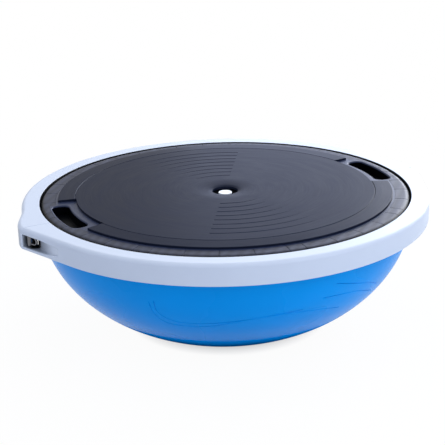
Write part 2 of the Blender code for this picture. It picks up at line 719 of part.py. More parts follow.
def make_plug(parts):
    """The plug: a flat head, and a stem with two sealing ribs in the valve's bore."""
    top = PLUG_Z + PLUG_HEAD_HEIGHT
    profile = [(0, top), (PLUG_HEAD - PLUG_EDGE, top), (PLUG_HEAD, top - PLUG_EDGE),
               (PLUG_HEAD, PLUG_Z), (PLUG_STEM, PLUG_Z)]
    rib = PLUG_RIB - PLUG_STEM
    for share in (1 / 3, 2 / 3):
        z = PLUG_Z - PLUG_LENGTH * share
        profile += [(PLUG_STEM, z + rib), (PLUG_RIB, z), (PLUG_STEM, z - 3 * rib)]
    profile += [(PLUG_STEM, PLUG_Z - PLUG_LENGTH + rib), (PLUG_STEM - rib, PLUG_Z - PLUG_LENGTH),
                (0, PLUG_Z - PLUG_LENGTH)]
    plug = lathe("valve_plug", [(r, z - PLUG_Z) for r, z in profile], parts,
                 segments=SMALL_SEGMENTS, closed=False)
    plug.location.z = PLUG_Z
    return plug


def eye_route():
    """The wire of an anchor ring: out from the barrel, round its end and back."""
    start = PIN_RADIUS + PIN_CLEARANCE + BARREL_WALL / 2
    route = [(start, 0, -EYE_HALF_HEIGHT), (EYE_LENGTH, 0, -EYE_HALF_HEIGHT)]
    bends = 6
    for bend in range(1, bends):
        turn = math.pi * bend / bends - math.pi / 2
        route.append((EYE_LENGTH + EYE_HALF_HEIGHT * math.cos(turn), 0, EYE_HALF_HEIGHT * math.sin(turn)))
    route += [(EYE_LENGTH, 0, EYE_HALF_HEIGHT), (start, 0, EYE_HALF_HEIGHT)]
    return [(place, 1) for place in route]


def make_anchor(side, parts, cutters):
    """An anchor ring on its upright pin, lying along the scoop at rest."""
    bore = PIN_RADIUS + PIN_CLEARANCE
    half = (SCOOP_TOP_Z - SCOOP_BOTTOM_Z) / 2 - FIT
    profile = [(bore, half), (bore + BARREL_WALL, half), (bore + BARREL_WALL, -half), (bore, -half)]
    ring = lathe(f"anchor_ring_{side}", profile, parts, segments=SMALL_SEGMENTS)
    eye = wires(f"anchor_eye_{side}", [eye_route()], WIRE_RADIUS, 1, cutters)
    boolean(ring, eye, "UNION")
    eye.parent = ring
    x, y = face_point(side, PIN_SETBACK, PIN_SETBACK)
    ring.location = (x, y, (SCOOP_TOP_Z + SCOOP_BOTTOM_Z) / 2)
    ring.rotation_euler.z = math.radians({"left": FACE_END - 90, "right": -FACE_END - 90}[side])
    return ring


def make_pin(side, parts):
    """The upright pin of an anchor ring, put in from under the lug, with a flush head."""
    low = RING_BOTTOM_Z + FIT
    under_head = low + PIN_HEAD_HEIGHT
    high = SCOOP_TOP_Z + PIN_SEAT
    profile = [(0, high), (PIN_RADIUS, high), (PIN_RADIUS, under_head), (PIN_HEAD, under_head),
               (PIN_HEAD, low), (0, low)]
    pin = lathe(f"anchor_pin_{side}", profile, parts, segments=SMALL_SEGMENTS, closed=False)
    x, y = face_point(side, PIN_SETBACK, PIN_SETBACK)
    pin.location = (x, y, 0)
    return pin


def make_screws(parts):
    """The clamp screws, each on its own place under the tread ring."""
    under_head = COUNTERBORE_Z + FIT
    top = under_head + SCREW_HEAD_HEIGHT
    tip = SHELF_Z - SCREW_GRIP
    drive = SCREW_SHANK * 0.8
    profile = [(0, top - drive), (drive, top), (SCREW_HEAD - FIT, top), (SCREW_HEAD, top - FIT),
               (SCREW_HEAD, under_head), (SCREW_SHANK, under_head), (SCREW_SHANK, tip + SCREW_SHANK),
               (0, tip)]
    screws = []
    for number, (x, y) in enumerate(screw_places(), start=1):
        screw = lathe(f"clamp_screw_{number:02d}", profile, parts, segments=SCREW_SEGMENTS,
                      closed=False)
        screw.location = (x, y, 0)
        screws.append(screw)
    return screws


def finish_part(part, finish):
    """Give a piece its material, apply its modifiers and shade its round faces smooth."""
    evaluated = part.evaluated_get(bpy.context.evaluated_depsgraph_get())
    mesh = bpy.data.meshes.new_from_object(evaluated)
    mesh.name = part.name
    mesh.materials.clear()
    mesh.materials.append(finish)
    part.modifiers.clear()
    part.data = mesh
    mesh.shade_smooth()
    mesh.set_sharp_from_angle(angle=math.radians(30))


def main():
    """Make every piece, then finish them."""
    parts, cutters = clear_scene()
    grey = make_material("ring_grey_plastic", "#c9d3e2", 0.45)
    black = make_material("platform_black_plastic", "#34383f", 0.5)
    tread = make_material("tread_dark_rubber", "#454a54", 0.75)
    blue = make_material("bladder_blue_vinyl", "#0c7fd6", 0.3)
    seat = make_material("valve_black_rubber", "#1c1d20", 0.7)
    white = make_material("plug_white_plastic", "#f2f2ee", 0.35)
    steel = make_material("anchor_steel", "#b9bbbe", 0.3, 1.0)
    zinc = make_material("screw_zinc", "#a7aaad", 0.4, 1.0)
    finishes = [(make_ring(parts, cutters), grey), (make_platform(parts, cutters), black),
                (make_tread(parts, cutters), tread), (make_bladder(parts, cutters), blue),
                (make_valve(parts), seat), (make_plug(parts), white)]
    for side in LUG_SIDES:
        finishes.append((make_anchor(side, parts, cutters), steel))
        finishes.append((make_pin(side, parts), steel))
    finishes += [(screw, zinc) for screw in make_screws(parts)]
    bpy.context.view_layer.update()
    for part, finish in finishes:
        finish_part(part, finish)


main()
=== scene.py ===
"""Looks of the half ball balance trainer.

The packed model is loaded as a fixed frame. Each operator below models one visible piece, or one
group of like pieces, over its solid in that frame, and gives it its finish. Units are metres, +Z is
up, the floor is z = 0 and the two lugs lie along X.
"""

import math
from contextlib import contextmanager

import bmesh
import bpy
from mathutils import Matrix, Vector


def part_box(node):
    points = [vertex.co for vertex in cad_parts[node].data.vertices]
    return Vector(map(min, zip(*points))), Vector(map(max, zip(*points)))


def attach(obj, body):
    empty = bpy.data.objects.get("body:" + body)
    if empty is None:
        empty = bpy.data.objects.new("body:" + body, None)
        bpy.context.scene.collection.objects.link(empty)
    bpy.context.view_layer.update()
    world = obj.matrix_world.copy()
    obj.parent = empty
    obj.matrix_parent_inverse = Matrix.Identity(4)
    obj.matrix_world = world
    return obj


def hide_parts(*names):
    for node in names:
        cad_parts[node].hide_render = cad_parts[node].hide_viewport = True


bl_info = {
    "name": "Half Ball Balance Trainer",
    "version": (1, 0, 0),
    "blender": (4, 5, 0),
    "location": "View3D > Sidebar > Trainer",
    "description": "Models the visible pieces of a half ball balance trainer over its fixed frame",
    "category": "Add Mesh",
}

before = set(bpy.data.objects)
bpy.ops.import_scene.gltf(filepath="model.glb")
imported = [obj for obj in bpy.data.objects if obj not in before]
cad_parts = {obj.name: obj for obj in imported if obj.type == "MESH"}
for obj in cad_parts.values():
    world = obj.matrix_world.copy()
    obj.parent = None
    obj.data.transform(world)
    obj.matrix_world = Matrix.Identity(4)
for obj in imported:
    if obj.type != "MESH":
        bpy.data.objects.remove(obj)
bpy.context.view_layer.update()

RING_LOW, RING_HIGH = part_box("outer_ring")
TREAD_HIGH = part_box("tread_ring")[1]
PLATFORM_LOW, PLATFORM_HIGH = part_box("base_platform")
PLUG_LOW, PLUG_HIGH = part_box("valve_plug")
SCREW_LOW, SCREW_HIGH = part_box("clamp_screw_01")

FIT = 0.0003  # gap that the frame's pieces keep to each other
HAIR = 0.00001  # points closer than this are one point
ROUND_STEPS = 240  # facets round the large turned pieces
FINE_STEPS = 48  # facets round the small turned pieces
FACET = 360 / ROUND_STEPS
CORNER_STEP = 22.5  # degrees between points on a small corner
SLOT_STEP = 9  # degrees between points on a hand slot's corners
EYE_STEP = 7.5  # degrees between points on the bend of an anchor's eye
EDGE_STEP = 18  # degrees between points on a rounded edge in a profile
FILLET_SHARE = 0.7  # largest share of a scoop's depth that its inner corners take
RIM_SHARE = 0.6  # how round a scoop's rim is, beside the ring's other small edges
FILL_TURN = math.radians(0.1)  # how far a fill runs on past the end of its notch
TOP_ROUND_STEPS = 8  # facets across the ring's outer top edge
EDGE_STEPS = 3  # facets across a small edge
DISH_STEPS = 10  # facets from the well out to the edge of the dish
TREAD_STEPS = 8  # facets across the tread's rounded edge
RAMP_STEPS = 20  # sections along a scoop's ramp
GROOVE_STEP = 2  # degrees between points on an arc groove
GROOVE_FADE = 1.5  # power at which a groove gets shallower along its length
SKIN_STEPS = 64  # facets down the dome's outer skin
LINING_STEPS = 24  # facets down its inner skin
FOOT_DARK = (0.028, 0.046)  # heights between which the dome's painted shade at the foot fades into its own blue
FOOT_DULL = (0.048, 0.068)  # heights between which it turns from dull to glossy
TREAD_DARK = (0.0016, 0.0005)  # depths below the rim between which the tread's painted shade turns from black to grey
DEEP_SHARE = 0.6  # share of the floor shade's reach that its deep part takes
DEEP_SHADE = (0.2, 0.2, 0.2, 1)  # how white the floor is shown there
FAINT_SHADE = (0.96, 0.96, 0.96, 1)  # and where the shade's reach ends
WAVE_RATE = 20 / math.tau  # bands in one unit of a wave pattern at a scale of 1
SENSOR_WIDTH = 36  # millimetres, which the lens goes with
NEAREST_VIEW = 0.05  # metres in front of the camera
SMOOTH_ANGLE = math.radians(32)
LUG_CORNER = 4  # degrees from a lug's middle to its corner
MOULDED_LINES = (  # azimuth in degrees and height in metres along each fine line moulded in the dome
    ((224, 0.128), (224.5, 0.110), (227, 0.093), (233.6, 0.0874), (240, 0.088), (248, 0.0956),
     (255, 0.102), (262.5, 0.106), (270, 0.1075)),
    ((225.6, 0.131), (226, 0.111), (229.6, 0.0976), (234.6, 0.094), (241.6, 0.095), (254.5, 0.1017),
     (260.7, 0.1038), (264.5, 0.1048), (271, 0.1027), (278, 0.0983), (285, 0.0915)),
    ((276, 0.121), (284, 0.118), (291, 0.112), (300, 0.0976)),
    ((279.5, 0.1417), (290, 0.127), (296, 0.118), (301, 0.108)),
)
LAMPS = (  # name, place, side in metres, power in watts and colour of each soft box
    ("key_softbox", (1.9, 1.2, 0.9), 1.4, 68, "#eef3ff"),
    ("back_softbox", (1.3, 2.2, 0.7), 1.0, 8, "#c8d6ff"),
    ("top_softbox", (0.2, 0.1, 2.4), 2.0, 19, "#ffffff"),
    ("front_softbox", (0.7, -2.0, 1.4), 1.4, 24, "#e2edff"),
    ("left_softbox", (-2.2, -0.2, 0.7), 1.4, 4.4, "#e2edff"),
)
UPRIGHT = Matrix(((0, 1, 0, 0), (0, 0, 1, 0), (1, 0, 0, 0), (0, 0, 0, 1)))  # turns a loft along X up


def length(title, default, words):
    """A size in metres for a panel."""
    return bpy.props.FloatProperty(name=title, description=words, default=default, min=0, precision=4,
                                   unit="LENGTH")


def turn(title, default, words):
    """An angle for a panel, given here in degrees."""
    return bpy.props.FloatProperty(name=title, description=words, default=math.radians(default),
                                   subtype="ANGLE")


def count(title, default, words):
    """A number of like features for a panel."""
    return bpy.props.IntProperty(name=title, description=words, default=default, min=1)


def number(title, default, words):
    """A plain number for a panel."""
    return bpy.props.FloatProperty(name=title, description=words, default=default, min=0)


def linear(hex_colour):
    """The linear RGBA colour of an sRGB hex colour."""
    channels = []
    for start in (1, 3, 5):
        value = int(hex_colour[start:start + 2], 16) / 255
        channels.append(value / 12.92 if value <= 0.04045 else ((value + 0.055) / 1.055) ** 2.4)
    return (*channels, 1.0)


def colour(title, hex_colour, words):
    """A colour for a panel, given here as sRGB hex."""
    return bpy.props.FloatVectorProperty(name=title, description=words, default=linear(hex_colour), size=4,
                                         min=0, max=1, subtype="COLOR")


class RingSizes(bpy.types.PropertyGroup):
    """Sizes of the outer ring, its lugs and their scoops."""

    radius: length("Radius", RING_HIGH.y, "Outer radius of the ring away from its lugs")
    lug_radius: length("Lug radius", RING_HIGH.x / math.cos(math.radians(LUG_CORNER)),
                       "Radius at the corner of a lug")
    top: length("Top level", RING_HIGH.z, "Height of the ring's top above the floor")
    bottom: length("Bottom level", RING_LOW.z, "Height of the ring's underside above the floor")
    band: length("Band", 0.027, "Width of the flat band round the platform")
    top_round: length("Top round", 0.006, "Radius of the outer top edge")
    edge: length("Edge", 0.001, "Radius of the small edges")
    wall: length("Wall", 0.0032, "Wall round the hollow bays under the ring")
    shelf_width: length("Shelf width", 0.0142, "Width of the shelf that the bladder's flange rests on")
    shelf_thickness: length("Shelf thickness", 0.0087, "Thickness of that shelf")
    tail: turn("Tail", -12, "Where a lug starts to swell, from its middle")
    corner: turn("Corner", LUG_CORNER, "Where a lug's straight face begins")
    bays: count("Bays", 10, "Hollow bays under the ring on each side")
    far_bays: turn("Far bays", 24, "Where the bays start behind a lug's eased side")
    near_bays: turn("Near bays", 30, "Where the bays start past a lug's scoop")
    bay_rib: length("Bay rib", 0.0026, "Thickness of the ribs between the bays")
    scoop_wall: length("Scoop end wall", 0.003, "Wall between the lug's corner and the scoop")
    pocket_length: length("Pocket length", 0.024, "Length of the deep part of a scoop")
    pocket_step: length("Pocket step", 0.002, "How far the pocket's inner wall slants to the ramp")
    pocket_depth: length("Pocket depth", 0.018, "Depth of the deep part of a scoop")
    scoop_length: length("Scoop length", 0.083, "Whole length of a scoop along the lug's face")
    ramp_depth: length("Ramp depth", 0.012, "Depth of the ramp where it meets the pocket")
    ramp_power: number("Ramp power", 1.15, "How softly the ramp meets the face")
    scoop_roof: length("Scoop roof", 0.0088, "Material over a scoop")
    scoop_floor: length("Scoop floor", 0.0042, "Material under a scoop")
    roof_fall: length("Roof fall", 0.0036, "How far the roof comes down along the ramp")
    floor_lift: length("Floor lift", 0.0075, "How far the floor comes up along the ramp")
    scoop_fillet: length("Scoop fillet", 0.003, "Radius of the inner corners of a scoop")
    crease_width: length("Crease width", 0.0016, "Width of the crease line across a lug's top")
    crease_depth: length("Crease depth", 0.0010, "Depth of that crease line")


class PlatformSizes(bpy.types.PropertyGroup):
    """Sizes of the platform's moulding and its tread."""

    radius: length("Radius", TREAD_HIGH.y, "Outer radius of the platform")
    rim: length("Rim level", TREAD_HIGH.z, "Height of the rim above the floor")
    disc: length("Disc level", PLATFORM_HIGH.z, "Height of the raised disc above the floor")
    underside: length("Underside", PLATFORM_LOW.z, "Height of the ribs' feet above the floor")
    disc_radius: length("Disc radius", 0.255, "Radius of the raised disc")
    disc_round: length("Disc round", 0.0009, "Radius of the disc's top edge")
    foot_groove: length("Foot groove", 0.0006, "Width and depth of the groove at the foot of the disc")
    crease_radius: length("Crease radius", 0.229, "Radius of the crease line in the disc")
    crease_depth: length("Crease depth", 0.0008, "Depth of the crease line in the disc")
    band_fall: length("Band fall", 0.0008, "How far the disc slopes down outside the crease")
    skin: length("Skin", 0.0035, "Thickness of the platform's skin")
    skirt: length("Skirt", 0.003, "Thickness of the skirt round the platform")
    rib: length("Rib", 0.0025, "Thickness of the ribs underneath")
    ribs: count("Ribs", 12, "Radial ribs underneath")
    clamp_inset: length("Clamp rib inset", 0.0087, "From the platform's edge in to the clamp rib")
    dish_radius: length("Dish radius", 0.052, "Radius of the shallow dish round the plug")
    dish_depth: length("Dish depth", 0.002, "Depth of that dish")
    well_radius: length("Well radius", 0.020, "Radius of the recess that holds the plug")
    well_depth: length("Well depth", 0.006, "Depth of that recess below the dish")
    well_lip: length("Well lip", 0.0008, "Width and height of the recess's soft edge")
    valve_hole: length("Valve hole", 0.012, "Radius of the hole for the valve")
    slot_inner: length("Slot inner radius", 0.240, "Inner radius of a hand slot")
    slot_outer: length("Slot outer radius", 0.266, "Outer radius of a hand slot")
    slot_turn: turn("Slot turn", 1.2, "From a lug's middle to a hand slot's middle, towards the scoop")
    slot_half: turn("Slot half angle", 12.3, "Half the angle that a hand slot takes")
    slot_corner: length("Slot corner", 0.011, "Corner radius of a hand slot")
    slot_lip: length("Slot lip", 0.0022, "Radius of a hand slot's top edge")
    slot_depth: length("Slot depth", 0.0142, "Depth of a hand slot below the rim")
    slot_wall: length("Slot wall", 0.0027, "Wall round a hand slot's pocket")
    notch_half: turn("Notch half angle", 16, "Half the angle of the notch in the disc by a hand slot")
    groove_first: length("First groove", 0.071, "Radius of the innermost arc groove")
    groove_pitch: length("Groove pitch", 0.0187, "Distance between arc grooves")
    grooves: count("Grooves", 8, "Arc grooves in each sector")
    groove_start: turn("Groove start", 60.5, "Where the grooves start, from a lug's middle")
    groove_sweep: turn("Groove sweep", 62, "Angle that the grooves take before they fade out")
    groove_radius: length("Groove radius", 0.0015, "Radius of the groove's round section")
    groove_depth: length("Groove depth", 0.0006, "Depth of a groove where it starts")
    tread_width: length("Tread width", 0.021, "Width of the tread ring")
    tread_thickness: length("Tread thickness", 0.004, "Thickness of the tread ring")
    tread_round: length("Tread round", 0.008, "Width of the tread's rounded outer edge")
    tread_fall: length("Tread fall", 0.0034, "How far that edge falls")
    seam_width: length("Seam width", 0.0011, "Width of the seams between the tread's tiles")
    seam_depth: length("Seam depth", 0.0009, "Depth of those seams")
    tile_groups: count("Tile groups", 8, "Groups of tiles round the tread")
    wide_tiles: count("Wide tiles", 4, "Wide tiles in each group, beside one narrow tile")
    tile_angle: turn("Wide tile", 10, "Angle of a wide tile")
    tile_start: turn("First seam", -50, "Where a group of tiles starts")
    screw_inset: length("Screw inset", 0.0056, "From the platform's edge in to the screws")
    screws: count("Screws", 16, "Clamp screws round the platform")
    screw_shank: length("Screw shank", 0.002, "Radius of a screw's shank")
    screw_head: length("Screw head", 0.004, "Radius of a screw's head")
    screw_head_height: length("Screw head height", 0.0026, "Height of a screw's head")
    pillar: length("Pillar", 0.005, "Radius of the pillar round a screw")


class BladderSizes(bpy.types.PropertyGroup):
    """Sizes of the inflated dome."""

    radius: length("Radius", 0.286, "Radius of the free dome at its widest")
    depth: length("Depth", 0.210, "Depth of the free dome below its widest circle")
    centre: length("Centre", 0.192, "Height of the widest circle above the floor")
    power: number("Fullness", 2.09, "Power of the dome's curve: 2 is an ellipse")
    blend: length("Foot blend", 0.008, "How softly the flat foot meets the dome")
    wall: length("Wall", 0.0035, "Thickness of the skin")
    flange: length("Flange", 0.003, "Thickness of the flange under the platform")
    top_skin: length("Top skin", 0.0025, "Thickness of the skin under the platform")
    valve_neck: length("Valve neck", 0.0085, "Radius of the valve's neck")
    line_radius: length("Line radius", 0.0009, "Radius of the round section of the moulded lines")
    line_depth: length("Line depth", 0.0008, "Depth of the moulded lines")


class HardwareSizes(bpy.types.PropertyGroup):
    """Sizes of the plug and of the anchor rings."""

    plug_head: length("Plug head", PLUG_HIGH.x, "Radius of the plug's head")
    plug_thickness: length("Plug thickness", 0.0024, "Thickness of the plug's head")
    plug_edge: length("Plug edge", 0.0008, "Radius of the edge of the plug's head")
    plug_stem: length("Plug stem", 0.0036, "Radius of the plug's stem")
    plug_rib: length("Plug rib", 0.0040, "Radius of the sealing ribs on the stem")
    pin_setback: length("Pin setback", 0.009, "From the lug's corner and face to an anchor's pin")
    pin_radius: length("Pin radius", 0.002, "Radius of an anchor's pin")
    pin_clearance: length("Pin clearance", 0.0004, "Gap between a pin and its barrel")
    pin_head: length("Pin head", 0.0036, "Radius of a pin's head")
    pin_head_height: length("Pin head height", 0.0013, "Height of a pin's head")
    pin_seat: length("Pin seat", 0.0035, "Depth of the pin in the scoop's roof")
    barrel_wall: length("Barrel wall", 0.0018, "Wall of an anchor's barrel")
    barrel_edge: length("Barrel edge", 0.0004, "Chamfer of the barrel's ends")
    wire: length("Wire radius", 0.0018, "Radius of an anchor's wire")
    eye_length: length("Eye length", 0.010, "From the pin to the bend of the eye")
    eye_half: length("Eye half height", 0.0055, "Half the height of the eye, at the wire's middle")


class Finishes(bpy.types.PropertyGroup):
    """Colours of the finishes."""

    ring: colour("Ring", "#c8ced6", "Pale grey of the ring's polypropylene")
    platform: colour("Platform", "#161b2a", "Black of the platform's polypropylene")
    tread: colour("Tread", "#303340", "Charcoal of the tread's rubber")
    dome: colour("Dome", "#008fda", "Blue of the bladder")
    plug: colour("Plug", "#f4f4f0", "White of the plug")
    valve: colour("Valve", "#17181b", "Black of the valve's rubber")
    # Painted reflection: the steel is coloured dark, as the shade that the anchors and pins reflect in the
    # scoops.
    steel: colour("Steel", "#6a6b70", "Dark nickel plating of the anchors")
    zinc: colour("Zinc", "#a9acb0", "Zinc plating of the screws and pins")


class StudioSettings(bpy.types.PropertyGroup):
    """Camera, floor and lamps."""

    camera_place: bpy.props.FloatVectorProperty(name="Camera place", description="Where the camera stands",
                                                default=(-0.6899, -1.6318, 0.7701), subtype="TRANSLATION")
    camera_heading: turn("Camera heading", -22.75, "Turn of the camera about the upright axis")
    camera_dip: turn("Camera dip", 19.25, "How far the camera looks down")
    camera_roll: turn("Camera roll", -1.427, "Tilt of the camera about its own axis")
    lens: bpy.props.FloatProperty(name="Lens", description="Focal length", default=97.9, unit="CAMERA")
    floor_size: length("Floor size", 12, "Side of the floor")
    floor: colour("Floor", "#ececec", "Matt pale floor")
    shade_reach: length("Shade reach", 0.16, "Where the shadow on the floor gets faint")
    even: colour("Even light", "#d6e2ff", "Cool light from all round")
    ambient: number("Ambient", 0.64, "Strength of the even light")


@contextmanager
def editing(piece, mode="VERT", action="DESELECT"):
    """Edit mode on one piece, with nothing selected at first, or with everything."""
    only(piece)
    bpy.ops.object.mode_set(mode="EDIT")
    bpy.ops.mesh.select_mode(type=mode)
    bpy.ops.mesh.select_all(action=action)
    yield
    bpy.ops.object.mode_set(mode="OBJECT")


def only(piece):
    """Select one object and make it active."""
    bpy.ops.object.select_all(action="DESELECT")
    piece.select_set(True)
    bpy.context.view_layer.objects.active = piece


def pick(piece, kind, test):
    """Select the vertices, edges or faces that pass a test, on a piece in edit mode."""
    shape = bmesh.from_edit_mesh(piece.data)
    for item in getattr(shape, kind):
        item.select_set(bool(test(item)))
    shape.select_flush_mode()
    bmesh.update_edit_mesh(piece.data)


def clean():
    """Merge doubled points and turn the faces outwards, in edit mode."""
    bpy.ops.mesh.select_mode(type="VERT")
    bpy.ops.mesh.select_all(action="SELECT")
    bpy.ops.mesh.remove_doubles(threshold=HAIR)
    bpy.ops.mesh.normals_make_consistent(inside=False)


def draw(name, points, closed=True):
    """Draw a line through points: a small plane merged to one corner, extruded from place to place."""
    bpy.ops.object.select_all(action="DESELECT")
    bpy.ops.mesh.primitive_plane_add(size=FIT, location=points[0])
    piece = bpy.context.object
    piece.name = name
    bpy.ops.object.transform_apply()
    with editing(piece, action="SELECT"):
        bpy.ops.mesh.merge(type="CENTER")
        here = Vector(points[0])
        for point in points[1:]:
            step = Vector(point) - here
            bpy.ops.mesh.extrude_vertices_move(TRANSFORM_OT_translate={"value": step})
            here = here + step
        if closed:
            pick(piece, "verts", lambda corner: len(corner.link_edges) == 1)
            bpy.ops.mesh.edge_face_add()
    return piece


def spun(name, profile, steps=ROUND_STEPS, closed=True):
    """Spin a profile of (r, z) points round the upright axis."""
    piece = draw(name, [(radius, 0, height) for radius, height in profile], closed)
    with editing(piece, action="SELECT"):
        bpy.ops.mesh.spin(steps=steps, angle=math.tau, center=(0, 0, 0), axis=(0, 0, 1))
        clean()
    return piece


def extruded(name, points, step):
    """Fill an outline and extrude it by a step."""
    piece = draw(name, points)
    with editing(piece, action="SELECT"):
        bpy.ops.mesh.edge_face_add()
        bpy.ops.mesh.extrude_region_move(TRANSFORM_OT_translate={"value": step})
        clean()
    return piece


def prism(name, outline, low, high):
    """Extrude an outline of (x, y) points from one height to another."""
    return extruded(name, [(x, y, low) for x, y in outline], (0, 0, high - low))


def slab(name, outline, thickness, degrees):
    """Extrude an outline of (r, z) points to a slab that stands along a radius."""
    piece = extruded(name, [(radius, -thickness / 2, height) for radius, height in outline],
                     (0, thickness, 0))
    move(piece, Matrix.Rotation(math.radians(degrees), 4, "Z"))
    return piece


def rod(name, radius, low, high, centre):
    """An upright cylinder between two heights."""
    bpy.ops.object.select_all(action="DESELECT")
    bpy.ops.mesh.primitive_cylinder_add(vertices=FINE_STEPS // 2, radius=radius, depth=high - low,
                                        location=(centre[0], centre[1], (low + high) / 2))
    piece = bpy.context.object
    piece.name = name
    bpy.ops.object.transform_apply()
    return piece


def move(piece, matrix):
    """Place a piece and apply the place to its mesh."""
    only(piece)
    piece.matrix_world = matrix @ piece.matrix_world
    bpy.ops.object.transform_apply()


def repeat(piece, copies, step):
    """Copy a piece's mesh round the upright axis, a number of degrees apart."""
    if copies > 1:
        with editing(piece, action="SELECT"):
            bpy.ops.mesh.spin(steps=copies - 1, angle=math.radians(step) * (copies - 1), dupli=True,
                              center=(0, 0, 0), axis=(0, 0, 1))
    return piece


def both_lugs(piece):
    """Add the mirror image of a piece's mesh for the other lug."""
    only(piece)
    other = piece.modifiers.new("other_lug", "MIRROR")
    other.use_mirror_merge = False
    bpy.ops.object.modifier_apply(modifier=other.name)
    return piece


def loft(name, sections):
    """Bridge loops of (y, z) points, each at its own x, and close both ends."""
    piece = joined([draw(name, [(x, y, z) for y, z in loop]) for x, loop in sections])
    places = [x for x, loop in sections]
    with editing(piece, "EDGE"):
        for pair in zip(places, places[1:]):
            pick(piece, "edges", lambda e: all(min(abs(v.co.x - x) for x in pair) < HAIR for v in e.verts))
            bpy.ops.mesh.bridge_edge_loops()
        for end in (places[0], places[-1]):
            pick(piece, "edges", lambda e: all(abs(v.co.x - end) < HAIR for v in e.verts))
            bpy.ops.mesh.edge_face_add()
        clean()
    return piece


def combine(piece, tool, operation="DIFFERENCE"):
    """Cut a tool away from a piece, or join it on."""
    only(piece)
    step = piece.modifiers.new(tool.name, "BOOLEAN")
    step.operation = operation
    step.solver = "EXACT"
    step.object = tool
    bpy.ops.object.modifier_apply(modifier=step.name)
    bpy.data.objects.remove(tool)


def round_edges(piece, test, width, steps):
    """Bevel the edges that pass a test."""
    with editing(piece, "EDGE"):
        pick(piece, "edges", test)
        bpy.ops.mesh.bevel(offset=width, segments=steps, profile=0.5, affect="EDGES")
        clean()


def finish_piece(piece, finish, body, node):
    """Shade a piece, give it its finish, and let it stand for its solid in the frame."""
    only(piece)
    bpy.ops.object.shade_smooth_by_angle(angle=SMOOTH_ANGLE)
    flat = piece.modifiers.new("even_shading", "WEIGHTED_NORMAL")
    flat.keep_sharp = True
    bpy.ops.object.modifier_apply(modifier=flat.name)
    piece.data.name = piece.name
    piece.data.materials.clear()
    piece.data.materials.append(finish)
    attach(piece, body)
    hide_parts(node)


def polar(radius, degrees):
    """A point on a circle round the upright axis."""
    angle = math.radians(degrees)
    return (radius * math.cos(angle), radius * math.sin(angle))


def arc(radius, start, end, centre=(0, 0), step=FACET):
    """Points on an arc, from one angle in degrees to another, at most one step apart."""
    steps = max(1, math.ceil(abs(end - start) / step))
    points = []
    for index in range(steps + 1):
        x, y = polar(radius, start + (end - start) * index / steps)
        points.append((centre[0] + x, centre[1] + y))
    return points


def at_level(height):
    """A test for edges that lie at one height."""
    return lambda edge: all(abs(corner.co.z - height) < HAIR for corner in edge.verts)


def sector(inner, outer, start, end):
    """Outline of a slice of a flat ring between two angles."""
    return arc(outer, start, end) + arc(inner, end, start)


def quarter(radius, centre, start):
    """Points on a quarter circle, for a rounded edge in a profile. It runs clockwise."""
    return arc(radius, start, start - 90, centre, EDGE_STEP)


def screw_rods(name, sizes, radius, low, high):
    """One upright cylinder on the place of each clamp screw."""
    pitch = 360 / sizes.screws
    centre = polar(sizes.radius - sizes.screw_inset, pitch / 2)
    return repeat(rod(name, radius, low, high, centre), sizes.screws, pitch)


def slot_slices(name, sizes, radii, half, low, high):
    """A slice of a flat ring at each hand slot, between two radii and two heights."""
    half = math.degrees(half)
    return both_slots(prism(name, sector(*radii, -half, half), low, high), sizes)


def both_slots(piece, sizes):
    """Turn a piece from a lug's middle to a hand slot's, and mirror it for the other slot."""
    move(piece, Matrix.Rotation(-sizes.slot_turn, 4, "Z"))
    return both_lugs(piece)


def wire(name, route, radius, sides=12, bends=1):
    """A round wire through points, as a closed mesh, with a number of bends between two points."""
    drawn = bpy.data.curves.new(name, "CURVE")
    drawn.dimensions = "3D"
    drawn.bevel_depth = radius
    drawn.bevel_resolution = sides // 2 - 2
    drawn.use_fill_caps = True
    drawn.resolution_u = bends
    spline = drawn.splines.new("BEZIER")
    spline.bezier_points.add(len(route) - 1)
    for point, place in zip(spline.bezier_points, route):
        point.co = place
        point.handle_left_type = "AUTO"
        point.handle_right_type = "AUTO"
    piece = bpy.data.objects.new(name, drawn)
    bpy.context.scene.collection.objects.link(piece)
    only(piece)
    bpy.ops.object.convert(target="MESH")
    piece = bpy.context.object
    with editing(piece):
        clean()
    return piece


def joined(pieces):
    """One object from several that don't touch."""
    only(pieces[0])
    for piece in pieces:
        piece.select_set(True)
    if len(pieces) > 1:
        bpy.ops.object.join()
    return bpy.context.object


def link(node, links):
    """Link outputs to a node's inputs. A node in place of an output means its first one in use."""
    for name, source in dict(links).items():
        if isinstance(source, bpy.types.Node):
            source = next(output for output in source.outputs if output.enabled)
        node.id_data.links.new(source, node.inputs[name])


def add_node(tree, kind, settings=(), links=()):
    """Add a node, set its options and inputs by name, and link its inputs."""
    made = tree.nodes.new(kind)
    for name, value in dict(settings).items():
        if isinstance(name, str) and hasattr(made, name):
            setattr(made, name, value)
        else:
            made.inputs[name].default_value = value
    link(made, links)
    return made


def new_finish(name, base, roughness, metallic=0.0, specular=0.5):
    """A material with its shader's even values set. Gives the material, its tree, shader and place."""
    made = bpy.data.materials.new(name)
    made.use_nodes = True
    tree = made.node_tree
    shader = tree.nodes["Principled BSDF"]
    shader.inputs["Base Color"].default_value = base
    shader.inputs["Roughness"].default_value = roughness
    shader.inputs["Metallic"].default_value = metallic
    shader.inputs["Specular IOR Level"].default_value = specular
    place = add_node(tree, "ShaderNodeTexCoord").outputs["Object"]
    return made, tree, shader, place


def per_mm(size):
    """Scale of a noise pattern whose features are this many millimetres wide."""
    return 1000 / size


def shaded(base, factor):
    """A colour made darker or lighter by a factor."""
    return (*[min(1.0, channel * factor) for channel in base[:3]], 1.0)


